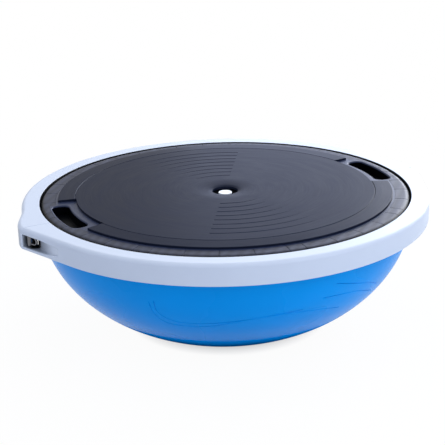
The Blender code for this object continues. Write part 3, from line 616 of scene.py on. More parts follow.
def ring_finish(base, ring):
    """Injection-moulded polypropylene from a spark-eroded mould: a soft satin with a fine even grain.

    The real grain is about 0.2 mm and is drawn at 1.4 mm, which is as fine as shows here. The deep
    end of each scoop is painted black as shade, so the anchors stand in the dark, and the scoop beside
    it is darkened under its roof as painted shadow. The wall round the platform is painted black too,
    as shade, so the gap looks black."""
    made, tree, shader, place = new_finish("polypropylene_pale_spark_textured", base, 0.42, specular=0.28)
    grain = add_node(tree, "ShaderNodeTexNoise", {"Scale": per_mm(1.4), "Detail": 2.0}, {"Vector": place})
    sink = add_node(tree, "ShaderNodeTexNoise", {"Scale": per_mm(60), "Detail": 1.0}, {"Vector": place})
    tint = add_node(tree, "ShaderNodeMix",
                    {"data_type": "RGBA", "A": shaded(base, 0.985), "B": shaded(base, 1.015)}, {0: sink})
    face = face_place(ring)
    pocket = face @ Vector((ring.scoop_wall + ring.pocket_length / 2, ring.pocket_depth * 0.8, 0))
    low, high = scoop_levels(ring, 0)
    split = add_node(tree, "ShaderNodeSeparateXYZ", links={"Vector": place})
    aside = add_node(tree, "ShaderNodeMath", {"operation": "ABSOLUTE"}, {0: split.outputs["X"]})
    mirrored = add_node(tree, "ShaderNodeCombineXYZ",
                        links={"X": aside, "Y": split.outputs["Y"], "Z": split.outputs["Z"]})
    reach = add_node(tree, "ShaderNodeVectorMath",
                     {"operation": "DISTANCE", 1: (-pocket.x, pocket.y, (low + high) / 2)}, {0: mirrored})
    # Painted shade: near the middle of each pocket the ring is coloured black, as the shade round the
    # anchor.
    pocket_shade = add_node(tree, "ShaderNodeMapRange",
                     {"From Min": ring.pocket_depth * 0.7, "From Max": ring.pocket_depth,
                      "To Min": 1.0, "To Max": 0.0}, {"Value": reach})
    # Painted shadow: inside each scoop, under its roof and most near the pocket, the ring is darkened as the
    # roof's shadow.
    inward = face.to_3x3() @ Vector((0, 1, 0))
    start = inward.dot(face.to_translation())
    depth = add_node(tree, "ShaderNodeVectorMath",
                     {"operation": "DOT_PRODUCT", 1: (-inward.x, inward.y, 0)}, {0: mirrored})
    inside = add_node(tree, "ShaderNodeMapRange", {"From Min": start + FIT, "From Max": start + 10 * FIT},
                      {"Value": depth})
    shade_falloff = add_node(tree, "ShaderNodeMapRange",
                    {"From Min": ring.pocket_depth, "From Max": ring.pocket_depth * 3,
                     "To Min": 0.7, "To Max": 0.0}, {"Value": reach})
    roofed = add_node(tree, "ShaderNodeMath", {"operation": "LESS_THAN", 1: ring.top - ring.scoop_roof / 2},
                      {0: split.outputs["Z"]})
    amount = add_node(tree, "ShaderNodeMath", {"operation": "MULTIPLY"}, {0: inside, 1: shade_falloff})
    scoop_shade = add_node(tree, "ShaderNodeMath", {"operation": "MULTIPLY"}, {0: amount, 1: roofed})
    scoop_shaded = add_node(tree, "ShaderNodeMix", {"data_type": "RGBA", "B": shaded(base, 0.35)},
                      {0: scoop_shade, "A": tint})
    # Painted shade: the ring's inner wall is coloured black, as the shade in the gap round the platform.
    flat = add_node(tree, "ShaderNodeCombineXYZ", links={"X": split.outputs["X"], "Y": split.outputs["Y"]})
    radius = add_node(tree, "ShaderNodeVectorMath", {"operation": "LENGTH"}, {0: flat})
    well = add_node(tree, "ShaderNodeMath", {"operation": "LESS_THAN", 1: ring.radius - ring.band + FIT},
                    {0: radius})
    black = add_node(tree, "ShaderNodeMath", {"operation": "MAXIMUM"}, {0: pocket_shade, 1: well})
    gap_and_pocket_shaded = add_node(tree, "ShaderNodeMix", {"data_type": "RGBA", "B": shaded(base, 0.01)},
                      {0: black, "A": scoop_shaded})
    polish = add_node(tree, "ShaderNodeMapRange", {"To Min": 0.36, "To Max": 0.5}, {"Value": grain})
    relief = add_node(tree, "ShaderNodeBump", {"Strength": 0.12, "Distance": 0.0003}, {"Height": grain})
    link(shader, {"Base Color": gap_and_pocket_shaded, "Roughness": polish, "Normal": relief})
    return made


def platform_finish(base, sizes):
    """Injection-moulded polypropylene from a turned mould: dark satin with faint rings and flow marks.

    The mould's 0.3 mm turning marks are drawn 2 mm wide, which is as fine as shows here. The rim
    below the disc is spark-textured, so it looks paler than the disc. Further down the plastic is
    painted near black as shade, so the hand slots and the plug's recess look black."""
    made, tree, shader, place = new_finish("polypropylene_black_turned_mould", base, 0.4, specular=0.035)
    split = add_node(tree, "ShaderNodeSeparateXYZ", links={"Vector": place})
    flat = add_node(tree, "ShaderNodeCombineXYZ", links={"X": split.outputs["X"], "Y": split.outputs["Y"]})
    radius = add_node(tree, "ShaderNodeVectorMath", {"operation": "LENGTH"}, {0: flat})
    around = add_node(tree, "ShaderNodeVectorMath", {"operation": "NORMALIZE"}, {0: flat})
    axis = add_node(tree, "ShaderNodeSeparateXYZ", links={"Vector": around})
    swirl = add_node(tree, "ShaderNodeCombineXYZ",
                     links={"X": radius, "Y": axis.outputs["X"], "Z": axis.outputs["Y"]})
    fine = add_node(tree, "ShaderNodeMapping", {"Scale": (per_mm(2), 3, 3)}, {"Vector": swirl})
    marks = add_node(tree, "ShaderNodeTexNoise", {"Scale": 1.0, "Detail": 2.0}, {"Vector": fine})
    broad = add_node(tree, "ShaderNodeMapping", {"Scale": (per_mm(14), 2.5, 2.5)}, {"Vector": swirl})
    flow = add_node(tree, "ShaderNodeTexNoise", {"Scale": 1.0, "Detail": 3.0, "Distortion": 0.6},
                    {"Vector": broad})
    grain = add_node(tree, "ShaderNodeTexNoise", {"Scale": per_mm(1.6), "Detail": 2.0}, {"Vector": place})
    level = add_node(tree, "ShaderNodeMath", {"operation": "COMPARE", 1: sizes.rim - sizes.slot_lip / 2,
                                              2: sizes.slot_lip / 2 + FIT}, {0: split.outputs["Z"]})
    outside = add_node(tree, "ShaderNodeMath", {"operation": "GREATER_THAN", 1: sizes.dish_radius},
                       {0: radius})
    rim = add_node(tree, "ShaderNodeMath", {"operation": "MULTIPLY"}, {0: level, 1: outside})
    sheen = add_node(tree, "ShaderNodeMapRange", {"To Min": 0.03, "To Max": 0.16}, {"Value": rim})
    tint = add_node(tree, "ShaderNodeMix",
                    {"data_type": "RGBA", "A": shaded(base, 0.75), "B": shaded(base, 1.3)}, {0: flow})
    pale = add_node(tree, "ShaderNodeMix", {"data_type": "RGBA", "B": shaded(base, 2.6)},
                    {0: rim, "A": tint})
    # Painted shade: below the slots' lips the plastic is coloured near black, as the shade in the hand slots
    # and the plug's recess.
    deep = add_node(tree, "ShaderNodeMath", {"operation": "LESS_THAN", 1: sizes.rim - sizes.slot_lip},
                    {0: split.outputs["Z"]})
    dark = add_node(tree, "ShaderNodeMix", {"data_type": "RGBA", "B": shaded(base, 0.08)},
                    {0: deep, "A": pale})
    streaks = add_node(tree, "ShaderNodeMath", {"operation": "ADD"}, {0: flow, 1: marks})
    polish = add_node(tree, "ShaderNodeMapRange",
                      {"From Min": 0.6, "From Max": 1.4, "To Min": 0.34, "To Max": 0.44},
                      {"Value": streaks})
    turned = add_node(tree, "ShaderNodeBump", {"Strength": 0.08, "Distance": 0.0004}, {"Height": marks})
    relief = add_node(tree, "ShaderNodeBump", {"Strength": 0.12, "Distance": 0.0003},
                      {"Height": grain, "Normal": turned})
    link(shader, {"Base Color": dark, "Roughness": polish, "Specular IOR Level": sheen, "Normal": relief})
    return made


def tread_finish(base, rim):
    """Moulded thermoplastic rubber with a diagonal hatch of fine raised bars, worn a little paler.

    The real bars are about 1 mm apart. That is finer than a pixel here, so they are drawn as soft
    bands 14 mm apart. The falling edge is painted black, as the shade in the gap round the ring."""
    made, tree, shader, place = new_finish("rubber_charcoal_hatch_moulded", base, 0.5, specular=0.16)
    turned = add_node(tree, "ShaderNodeMapping", {"Rotation": (0, 0, math.radians(40))}, {"Vector": place})
    bars = add_node(tree, "ShaderNodeTexWave", {"Scale": per_mm(13.82) / WAVE_RATE, "Distortion": 0.4},
                    {"Vector": turned})
    worn = add_node(tree, "ShaderNodeTexNoise", {"Scale": per_mm(14), "Detail": 3.0}, {"Vector": place})
    height = add_node(tree, "ShaderNodeMath", {"operation": "MULTIPLY"},
                      {0: bars.outputs["Fac"], 1: worn})
    tint = add_node(tree, "ShaderNodeMix",
                    {"data_type": "RGBA", "A": shaded(base, 0.8), "B": shaded(base, 1.6)}, {0: height})
    split = add_node(tree, "ShaderNodeSeparateXYZ", links={"Vector": place})
    # Painted shade: the tread's falling edge turns black below the rim, as the shade in the gap.
    black, grey = TREAD_DARK
    tread_gap_shade = add_node(tree, "ShaderNodeMapRange",
                      {"From Min": rim - black, "From Max": rim - grey, "To Min": 1.0, "To Max": 0.0},
                      {"Value": split.outputs["Z"]})
    edge = add_node(tree, "ShaderNodeMix", {"data_type": "RGBA", "B": shaded(base, 0.06)},
                    {0: tread_gap_shade, "A": tint})
    relief = add_node(tree, "ShaderNodeBump", {"Strength": 0.35, "Distance": 0.0004},
                      {"Height": bars.outputs["Fac"]})
    link(shader, {"Base Color": edge, "Normal": relief})
    return made


def dome_finish(base, shelf):
    """Calendered polyvinyl chloride sheet, blown to shape: smooth and softly glossy, a little uneven.

    Its colour and gloss drift a little over 12 cm waves. It is duller at the foot and painted darker
    there, as the shade where it meets the floor. The flange above the shelf is painted black, as the
    shade in the gap round the platform, so the gap looks black."""
    made, tree, shader, place = new_finish("vinyl_blue_calendered", base, 0.3, specular=0.05)
    waves = add_node(tree, "ShaderNodeTexNoise", {"Scale": per_mm(120), "Detail": 2.0}, {"Vector": place})
    peel = add_node(tree, "ShaderNodeTexNoise", {"Scale": per_mm(5), "Detail": 1.0}, {"Vector": place})
    split = add_node(tree, "ShaderNodeSeparateXYZ", links={"Vector": place})
    height = split.outputs["Z"]
    # Painted shade: the foot darkens towards the floor, as the shade where it meets it.
    low = add_node(tree, "ShaderNodeMapRange",
                   {"From Min": FOOT_DARK[0], "From Max": FOOT_DARK[1], "To Min": 1.0, "To Max": 0.0},
                   {"Value": height})
    sheen = add_node(tree, "ShaderNodeMapRange",
                     {"From Min": FOOT_DULL[0], "From Max": FOOT_DULL[1], "To Min": 0.0, "To Max": 0.05},
                     {"Value": height})
    tint = add_node(tree, "ShaderNodeMix",
                    {"data_type": "RGBA", "A": shaded(base, 0.93), "B": shaded(base, 1.07)}, {0: waves})
    foot_shaded = add_node(tree, "ShaderNodeMix", {"data_type": "RGBA", "B": shaded(base, 0.4)},
                    {0: low, "A": tint})
    # Painted shade: above the shelf the skin is coloured near black, as the shade in the gap round the
    # platform.
    flange_gap_shade = add_node(tree, "ShaderNodeMath", {"operation": "GREATER_THAN", 1: shelf}, {0: height})
    flange = add_node(tree, "ShaderNodeMix", {"data_type": "RGBA", "B": shaded(base, 0.02)},
                      {0: flange_gap_shade, "A": foot_shaded})
    polish = add_node(tree, "ShaderNodeMapRange", {"To Min": 0.2, "To Max": 0.34}, {"Value": waves})
    relief = add_node(tree, "ShaderNodeBump", {"Strength": 0.04, "Distance": 0.0006}, {"Height": peel})
    link(shader, {"Base Color": flange, "Roughness": polish, "Specular IOR Level": sheen,
                  "Normal": relief})
    return made


def plug_finish(base):
    """Injection-moulded acrylonitrile butadiene styrene: clean white with a low gloss."""
    made, tree, shader, place = new_finish("abs_white_moulded", base, 0.3)
    grain = add_node(tree, "ShaderNodeTexNoise", {"Scale": per_mm(0.8), "Detail": 2.0}, {"Vector": place})
    tint = add_node(tree, "ShaderNodeMix", {"data_type": "RGBA", "A": shaded(base, 0.98), "B": base},
                    {0: grain})
    relief = add_node(tree, "ShaderNodeBump", {"Strength": 0.05, "Distance": 0.0001}, {"Height": grain})
    link(shader, {"Base Color": tint, "Normal": relief})
    return made


def valve_finish(base):
    """Compression-moulded rubber: matt black with a dusty bloom."""
    made, tree, shader, place = new_finish("rubber_black_moulded", base, 0.72, specular=0.3)
    bloom = add_node(tree, "ShaderNodeTexNoise", {"Scale": per_mm(6), "Detail": 4.0}, {"Vector": place})
    tint = add_node(tree, "ShaderNodeMix", {"data_type": "RGBA", "A": base, "B": shaded(base, 2.2)},
                    {0: bloom})
    link(shader, {"Base Color": tint})
    return made


def steel_finish(base):
    """Drawn steel wire: painted dark, as the shade it reflects in the scoops, with bright glints and fine
    marks.
    """
    made, tree, shader, place = new_finish("steel_wire_black_nickel", base, 0.2, metallic=1.0)
    marks = add_node(tree, "ShaderNodeTexNoise", {"Scale": per_mm(0.9), "Detail": 3.0}, {"Vector": place})
    polish = add_node(tree, "ShaderNodeMapRange", {"To Min": 0.12, "To Max": 0.32}, {"Value": marks})
    relief = add_node(tree, "ShaderNodeBump", {"Strength": 0.05, "Distance": 0.0001}, {"Height": marks})
    link(shader, {"Roughness": polish, "Normal": relief})
    return made


def zinc_finish(base):
    """Bright zinc plating on cold-headed steel: grey, with cloudy patches."""
    made, tree, shader, place = new_finish("steel_zinc_plated", base, 0.36, metallic=1.0)
    cloud = add_node(tree, "ShaderNodeTexNoise", {"Scale": per_mm(3), "Detail": 3.0}, {"Vector": place})
    tint = add_node(tree, "ShaderNodeMix",
                    {"data_type": "RGBA", "A": shaded(base, 0.85), "B": shaded(base, 1.1)}, {0: cloud})
    polish = add_node(tree, "ShaderNodeMapRange", {"To Min": 0.28, "To Max": 0.46}, {"Value": cloud})
    link(shader, {"Base Color": tint, "Roughness": polish})
    return made


def face_end(ring):
    """Angle, in degrees, where a lug's straight face meets the ring's circle."""
    return math.degrees(ring.corner + math.acos(ring.radius / ring.lug_radius))


def face_place(ring):
    """Place of the left lug's straight face: x runs along it from the corner, and y runs in from it."""
    face_length = math.sqrt(ring.lug_radius ** 2 - ring.radius ** 2)
    return (Matrix.Rotation(math.pi + math.radians(face_end(ring)), 4, "Z")
            @ Matrix.Translation((ring.radius, -face_length, 0)) @ Matrix.Rotation(math.pi / 2, 4, "Z"))


def lug_outline(ring):
    """The left lug from above: eased on one side, with a corner and a straight face on the other."""
    tail, corner = math.degrees(ring.tail), math.degrees(ring.corner)
    reach = ring.lug_radius - ring.radius
    widest = ring.lug_radius * math.cos(ring.corner)
    steps = round((corner - tail) / FACET)
    points = []
    for index in range(steps + 1):
        angle = tail + (corner - tail) * index / steps
        radius = ring.radius + reach * (1 - math.cos(math.pi * index / steps)) / 2
        points.append(polar(min(radius, widest / math.cos(math.radians(angle))), 180 + angle))
    return points


def ring_outline(ring):
    """The ring from above: a circle with two lugs that mirror each other."""
    left = lug_outline(ring)
    right = [(-x, y) for x, y in reversed(left)]
    tail, end = math.degrees(ring.tail), face_end(ring)
    return (right + arc(ring.radius, -tail, 180 + tail)[1:-1] + left
            + arc(ring.radius, 180 + end, 360 - end))


def scoop_levels(ring, part):
    """Low and high level of a scoop, from the pocket at 0 to the ramp's end at 1."""
    return (ring.bottom + ring.scoop_floor + ring.floor_lift * part ** 3,
            ring.top - ring.scoop_roof - ring.roof_fall * part ** 2)


def scoop_section(ring, depth, part):
    """A scoop's section across the face, with round inner corners."""
    outside = -ring.scoop_wall
    low, high = scoop_levels(ring, part)
    fillet = min(ring.scoop_fillet, max(depth, HAIR) * FILLET_SHARE)
    points = [(outside, high), (outside, low)]
    points += arc(fillet, 270, 360, (depth - fillet, low + fillet), CORNER_STEP)
    points += arc(fillet, 0, 90, (depth - fillet, high - fillet), CORNER_STEP)
    return points


def scoop(ring):
    """The space of the left scoop: a deep pocket next to the lug's tip, then a ramp up to the face."""
    pocket_end = ring.scoop_wall + ring.pocket_length
    ramp_start = pocket_end + ring.pocket_step
    ramp_length = ring.scoop_wall + ring.scoop_length - ramp_start
    sections = []
    for across, into in quarter(ring.scoop_fillet, (ring.scoop_wall + ring.scoop_fillet, 0), 180):
        depth = ring.pocket_depth - ring.scoop_fillet + into
        sections.append((across, scoop_section(ring, depth, 0)))
    sections.append((pocket_end, scoop_section(ring, ring.pocket_depth, 0)))
    for index in range(RAMP_STEPS + 1):
        part = index / RAMP_STEPS
        depth = ring.ramp_depth * (1 - part) ** ring.ramp_power - FIT * part
        sections.append((ramp_start + ramp_length * part, scoop_section(ring, depth, part)))
    piece = loft("scoop", sections)
    move(piece, face_place(ring))
    return piece


def dome_radius(dome, height):
    """Radius of the dome's outer skin at a height."""
    part = (dome.centre - height) / dome.depth
    return dome.radius * (1 - part ** dome.power) ** (1 / dome.power)


def pin_centre(ring, hardware):
    """Where the left anchor's pin stands, in from its lug's corner and face."""
    return face_place(ring) @ Vector((hardware.pin_setback, hardware.pin_setback, 0))


def ledge_level(platform):
    """Height of the platform's ledge, which the tread lies on."""
    return platform.rim - platform.tread_thickness - FIT


def shelf_levels(ring, platform, dome):
    """Heights of the shelf's top and underside inside the ring."""
    top = platform.underside - dome.flange - 2 * FIT
    return top, top - ring.shelf_thickness


class TRAINER_OT_outer_ring(bpy.types.Operator):
    """Model the pale outer ring with its two lugs"""

    bl_idname = "trainer.outer_ring"
    bl_label = "Outer Ring"

    def execute(self, context):
        scene = context.scene
        ring, platform, dome = scene.trainer_ring, scene.trainer_platform, scene.trainer_dome
        hardware = scene.trainer_hardware
        shelf, shelf_under = shelf_levels(ring, platform, dome)
        inner = ring.radius - ring.band
        piece = prism("ring_shell", ring_outline(ring), ring.bottom, ring.top)
        round_edges(piece, at_level(ring.top), ring.top_round, TOP_ROUND_STEPS)
        round_edges(piece, at_level(ring.bottom), ring.edge, EDGE_STEPS)
        combine(piece, self.well(ring, inner, shelf, shelf_under, dome))
        combine(piece, self.bays(ring, shelf_under, dome))
        combine(piece, both_lugs(scoop(ring)))
        self.soften_scoops(piece, ring)
        for bore in self.pin_bores(ring, hardware):
            combine(piece, bore)
        combine(piece, screw_rods("pilot_holes", platform, platform.screw_shank + FIT, SCREW_LOW.z - FIT,
                                  shelf + FIT))
        combine(piece, self.creases(ring, inner))
        finish = ring_finish(scene.trainer_finishes.ring, ring)
        finish_piece(piece, finish, "trainer", "outer_ring")
        return {"FINISHED"}

    def well(self, ring, inner, shelf, shelf_under, dome):
        """The space inside the ring: platform above the shelf, bladder neck through it, dome below."""
        above = ring.top + ring.band
        below = ring.bottom - ring.band
        lip = dome_radius(dome, shelf_under) + FIT
        neck = inner - ring.shelf_width
        profile = [(0, above), (inner + ring.edge, above)]
        profile += arc(ring.edge, 90, 180, (inner + ring.edge, ring.top - ring.edge), CORNER_STEP)
        profile += [(inner, shelf), (neck, shelf), (neck, shelf_under), (lip, shelf_under), (lip, below),
                    (0, below)]
        return spun("ring_well", profile, closed=False)

    def bays(self, ring, shelf_under, dome):
        """The hollow bays under the ring, open below, with ribs left between them."""
        outer = ring.radius - ring.wall
        rib = math.degrees(ring.bay_rib / outer)
        inner = dome_radius(dome, shelf_under) + FIT + ring.wall
        rows = []
        for start, middle in ((math.degrees(ring.far_bays), 90), (180 + math.degrees(ring.near_bays), 270)):
            pitch = 2 * (middle - start) / ring.bays
            outline = sector(inner, outer, start + rib / 2, start + pitch - rib / 2)
            bay = prism("ring_bay", outline, ring.bottom - ring.wall, ring.top - ring.wall)
            rows.append(repeat(bay, ring.bays, pitch))
        return joined(rows)

    def soften_scoops(self, piece, ring):
        """Round the rim of each scoop where it meets the lug's face."""
        into_face = face_place(ring).inverted()

        def on_rim(edge):
            for corner in edge.verts:
                place = into_face @ Vector((-abs(corner.co.x), corner.co.y, corner.co.z))
                if abs(place.y) > HAIR * 3 or place.x < ring.scoop_wall / 2:
                    return False
                if not ring.bottom + ring.edge + FIT < place.z < ring.top - ring.top_round - FIT:
                    return False
            return True

        round_edges(piece, on_rim, ring.edge * RIM_SHARE, EDGE_STEPS)

    def pin_bores(self, ring, hardware):
        """Bores for the anchors' pins, up into the roof of each scoop, and recesses for their heads."""
        centre = pin_centre(ring, hardware)
        roof = ring.top - ring.scoop_roof + hardware.pin_seat + FIT
        head = ring.bottom + hardware.pin_head_height + 2 * FIT
        yield both_lugs(rod("pin_hole", hardware.pin_radius + FIT, ring.bottom + FIT, roof, centre))
        yield both_lugs(rod("pin_seat", hardware.pin_head + FIT, ring.bottom - FIT, head, centre))

    def creases(self, ring, inner):
        """The fine crease across the top of each lug, along the radius to its corner."""
        width = ring.crease_width
        low = ring.top - ring.crease_depth
        high = ring.top + ring.crease_depth
        notch = [(-width, high), (width, high), (0, low)]
        piece = loft("lug_crease", [(inner - width / 2, notch), (ring.lug_radius - ring.top_round, notch)])
        move(piece, Matrix.Rotation(math.pi + ring.corner, 4, "Z"))
        return both_lugs(piece)


class TRAINER_OT_platform(bpy.types.Operator):
    """Model the black platform with its hand slots, crease and arc grooves"""

    bl_idname = "trainer.platform"
    bl_label = "Platform"

    def execute(self, context):
        scene = context.scene
        sizes = scene.trainer_platform
        piece = spun("platform_moulding", self.profile(sizes))
        for part in (self.ribs, self.pillars, self.notch_pads, self.notch_fills, self.pocket_blocks):
            combine(piece, part(sizes), "UNION")
        for cut in (self.notches, self.hand_slots, self.counterbores, self.shank_holes, self.grooves):
            combine(piece, cut(sizes))
        finish = platform_finish(scene.trainer_finishes.platform, sizes)
        finish_piece(piece, finish, "trainer", "base_platform")
        return {"FINISHED"}

    def profile(self, sizes):
        """Cross-section from the valve hole out to the rim and back underneath."""
        dish = sizes.disc - sizes.dish_depth
        floor = dish - sizes.well_depth
        lip = sizes.well_lip
        points = [(sizes.valve_hole, floor), (sizes.well_radius - lip, floor)]
        points.append((sizes.well_radius, dish - lip))
        for index in range(1, DISH_STEPS + 1):
            part = index / DISH_STEPS
            points.append((sizes.well_radius + (sizes.dish_radius - sizes.well_radius) * part,
                           sizes.disc - sizes.dish_depth * (1 - part) ** 2))
        half = sizes.crease_depth
        points += [(sizes.crease_radius - half, sizes.disc), (sizes.crease_radius, sizes.disc - half),
                   (sizes.crease_radius + half, sizes.disc)]
        band = sizes.disc - sizes.band_fall
        edge = sizes.disc_round
        points += quarter(edge, (sizes.disc_radius - edge, band - edge), 90)
        groove = sizes.foot_groove
        ledge_radius = sizes.radius - sizes.tread_width - FIT
        ledge = ledge_level(sizes)
        points += [(sizes.disc_radius, sizes.rim - groove), (sizes.disc_radius + groove, sizes.rim - groove),
                   (sizes.disc_radius + groove, sizes.rim), (ledge_radius, sizes.rim),
                   (ledge_radius, ledge), (sizes.radius, ledge), (sizes.radius, sizes.underside)]
        under = sizes.disc - sizes.skin
        ledge_under = ledge - sizes.skin
        clamp_outer = sizes.radius - sizes.clamp_inset
        clamp_inner = clamp_outer - sizes.rib
        points += [(sizes.radius - sizes.skirt, sizes.underside), (sizes.radius - sizes.skirt, ledge_under),
                   (clamp_outer, ledge_under), (clamp_outer, sizes.underside),
                   (clamp_inner, sizes.underside), (clamp_inner, ledge_under),
                   (ledge_radius - sizes.skin, ledge_under), (sizes.disc_radius - sizes.skin, under),
                   (sizes.dish_radius, under)]
        boss = sizes.well_radius + sizes.skin
        points += [(boss, under - sizes.dish_depth), (boss, sizes.underside),
                   (sizes.well_radius, sizes.underside), (sizes.well_radius, floor - sizes.skin),
                   (sizes.valve_hole, floor - sizes.skin)]
        return points

    def ribs(self, sizes):
        """The radial ribs, from the valve well out to the clamp rib."""
        bite = 2 * FIT
        low = sizes.underside + FIT
        middle = sizes.well_radius + sizes.skin / 2
        step = sizes.disc_radius - sizes.skin
        ledge_radius = sizes.radius - sizes.tread_width - FIT
        ledge_under = ledge_level(sizes) - sizes.skin
        outer = sizes.radius - sizes.clamp_inset - sizes.rib / 2
        under = sizes.disc - sizes.skin
        outline = [(middle, low), (outer, low), (outer, ledge_under + bite)]
        outline += [(ledge_radius, ledge_under + bite), (step, under + bite), (middle, under + bite)]
        pitch = 360 / sizes.ribs
        return repeat(slab("platform_ribs", outline, sizes.rib, pitch / 2), sizes.ribs, pitch)

    def pillars(self, sizes):
        """The pillars that the clamp screws pass through."""
        return screw_rods("platform_pillars", sizes, sizes.pillar, sizes.underside + FIT,
                          ledge_level(sizes) - sizes.skin / 2)

    def counterbores(self, sizes):
        """The recesses for the screws' heads under the tread."""
        return screw_rods("counterbores", sizes, sizes.screw_head + FIT,
                          SCREW_HIGH.z - sizes.screw_head_height - FIT, ledge_level(sizes) + FIT)

    def shank_holes(self, sizes):
        """The holes for the screws' shanks."""
        return screw_rods("shank_holes", sizes, sizes.screw_shank + FIT, sizes.underside - FIT,
                          ledge_level(sizes))

    def notch_pads(self, sizes):
        """A pad of skin under each notch."""
        return slot_slices("notch_pads", sizes, (sizes.crease_radius - sizes.skin, sizes.disc_radius),
                           sizes.notch_half + sizes.skin / sizes.crease_radius,
                           sizes.rim - sizes.skin, sizes.disc - sizes.skin + 2 * FIT)

    def notch_fills(self, sizes):
        """A fill for the groove at the foot of the disc, which ends at each notch."""
        radii = (sizes.disc_radius - FIT, sizes.disc_radius + sizes.foot_groove + FIT)
        return slot_slices("notch_fills", sizes, radii, sizes.notch_half + FILL_TURN,
                           sizes.rim - sizes.skin, sizes.rim - FIT / 3)

    def pocket_blocks(self, sizes):
        """A block round each hand slot, which becomes its pocket."""
        radii = (sizes.slot_inner - sizes.slot_wall, sizes.slot_outer + sizes.slot_wall)
        return slot_slices("pocket_blocks", sizes, radii,
                           sizes.slot_half + sizes.slot_wall / sizes.slot_inner,
                           sizes.underside + FIT, sizes.rim)

    def notches(self, sizes):
        """The notches that take the disc's outer band down to the rim beside each hand slot."""
        radii = (sizes.crease_radius - 2 * sizes.crease_depth,
                 sizes.disc_radius + sizes.foot_groove + 2 * FIT)
        return slot_slices("notches", sizes, radii, sizes.notch_half, sizes.rim, sizes.disc + sizes.skin)

    def slot_outline(self, sizes, grow=0.0):
        """A hand slot from above: a slice of a ring with round corners."""
        inner, outer = sizes.slot_inner - grow, sizes.slot_outer + grow
        corner = sizes.slot_corner + grow
        half = math.degrees(sizes.slot_half)
        reach_out, reach_in = outer - corner, inner + corner
        turn_out = half - math.degrees(math.asin((corner - grow) / reach_out))
        turn_in = half - math.degrees(math.asin((corner - grow) / reach_in))
        points = arc(outer, -turn_out, turn_out)
        points += arc(corner, turn_out, half + 90, polar(reach_out, turn_out), SLOT_STEP)[1:]
        points += arc(corner, half + 90, turn_in + 180, polar(reach_in, turn_in), SLOT_STEP)
        points += arc(inner, turn_in, -turn_in)[1:]
        points += arc(corner, 180 - turn_in, 270 - half, polar(reach_in, -turn_in), SLOT_STEP)[1:]
        points += arc(corner, 270 - half, 360 - turn_out, polar(reach_out, -turn_out), SLOT_STEP)[:-1]
        return points

    def hand_slots(self, sizes):
        """Tools for the hand slots, with round corners and a flare at the top that leaves a soft lip."""
        lip = sizes.slot_lip
        low = sizes.rim + FIT / 5 - lip
        levels = [(0, sizes.rim - sizes.slot_depth)] + quarter(lip, (lip, low), 180)
        levels.append((lip, sizes.disc + sizes.skin))
        slot = loft("hand_slots", [(level, self.slot_outline(sizes, grow)) for grow, level in levels])
        move(slot, UPRIGHT)
        return both_slots(slot, sizes)

    def grooves(self, sizes):
        """Wires that lie half in the disc and leave arc grooves, which rise out of it and fade."""
        start, sweep = math.degrees(sizes.groove_start), math.degrees(sizes.groove_sweep)
        steps = round(sweep / GROOVE_STEP)
        lift = sizes.groove_radius - sizes.groove_depth
        wires = []
        for index in range(sizes.grooves):
            radius = sizes.groove_first + index * sizes.groove_pitch
            route = []
            for step in range(steps + 1):
                part = step / steps
                x, y = polar(radius, start + sweep * part)
                route.append((x, y, sizes.disc + lift + sizes.groove_depth * part ** GROOVE_FADE))
            wires.append(wire(f"groove_{index}", route, sizes.groove_radius))
        return repeat(joined(wires), 2, 180)


class TRAINER_OT_tread(bpy.types.Operator):
    """Model the rubber tread ring with its tiles"""

    bl_idname = "trainer.tread"
    bl_label = "Tread Ring"

    def execute(self, context):
        scene = context.scene
        sizes = scene.trainer_platform
        inner = sizes.radius - sizes.tread_width
        low = sizes.rim - sizes.tread_thickness
        top = [(inner, sizes.rim)] + self.top(sizes)
        piece = spun("tread_tiles", [(inner, low)] + top + [(sizes.radius, low)])
        combine(piece, self.reliefs(sizes, low))
        combine(piece, self.seams(sizes, inner))
        finish = tread_finish(scene.trainer_finishes.tread, sizes.rim)
        finish_piece(piece, finish, "trainer", "tread_ring")
        return {"FINISHED"}

    def top(self, sizes):
        """The tread's top where it rounds off to the outer edge."""
        points = []
        for index in range(TREAD_STEPS + 1):
            part = index / TREAD_STEPS
            points.append((sizes.radius - sizes.tread_round * (1 - part),
                           sizes.rim - sizes.tread_fall * part ** 3))
        return points

    def reliefs(self, sizes, low):
        """The cuts that let the tread out round the hand slots."""
        return slot_slices("tread_reliefs", sizes,
                           (sizes.slot_inner, sizes.slot_outer + sizes.slot_wall + FIT),
                           sizes.slot_half + (sizes.slot_wall + FIT) / sizes.slot_inner,
                           low - FIT, sizes.rim + FIT)

    def seams(self, sizes, inner):
        """The seams between tiles: each group has wide tiles and one narrow tile."""
        width, depth = sizes.seam_width, sizes.seam_depth
        blades = []
        for index in range(sizes.wide_tiles + 1):
            sections = []
            for radius, level in [(inner - FIT, sizes.rim)] + self.top(sizes):
                sections.append((radius, [(-width, level + depth), (width, level + depth),
                                          (0, level - depth)]))
            sections.append((sizes.radius + FIT, sections[-1][1]))
            piece = loft("seam", sections)
            move(piece, Matrix.Rotation(sizes.tile_start - sizes.tile_angle * index, 4, "Z"))
            blades.append(piece)
        return repeat(joined(blades), sizes.tile_groups, 360 / sizes.tile_groups)


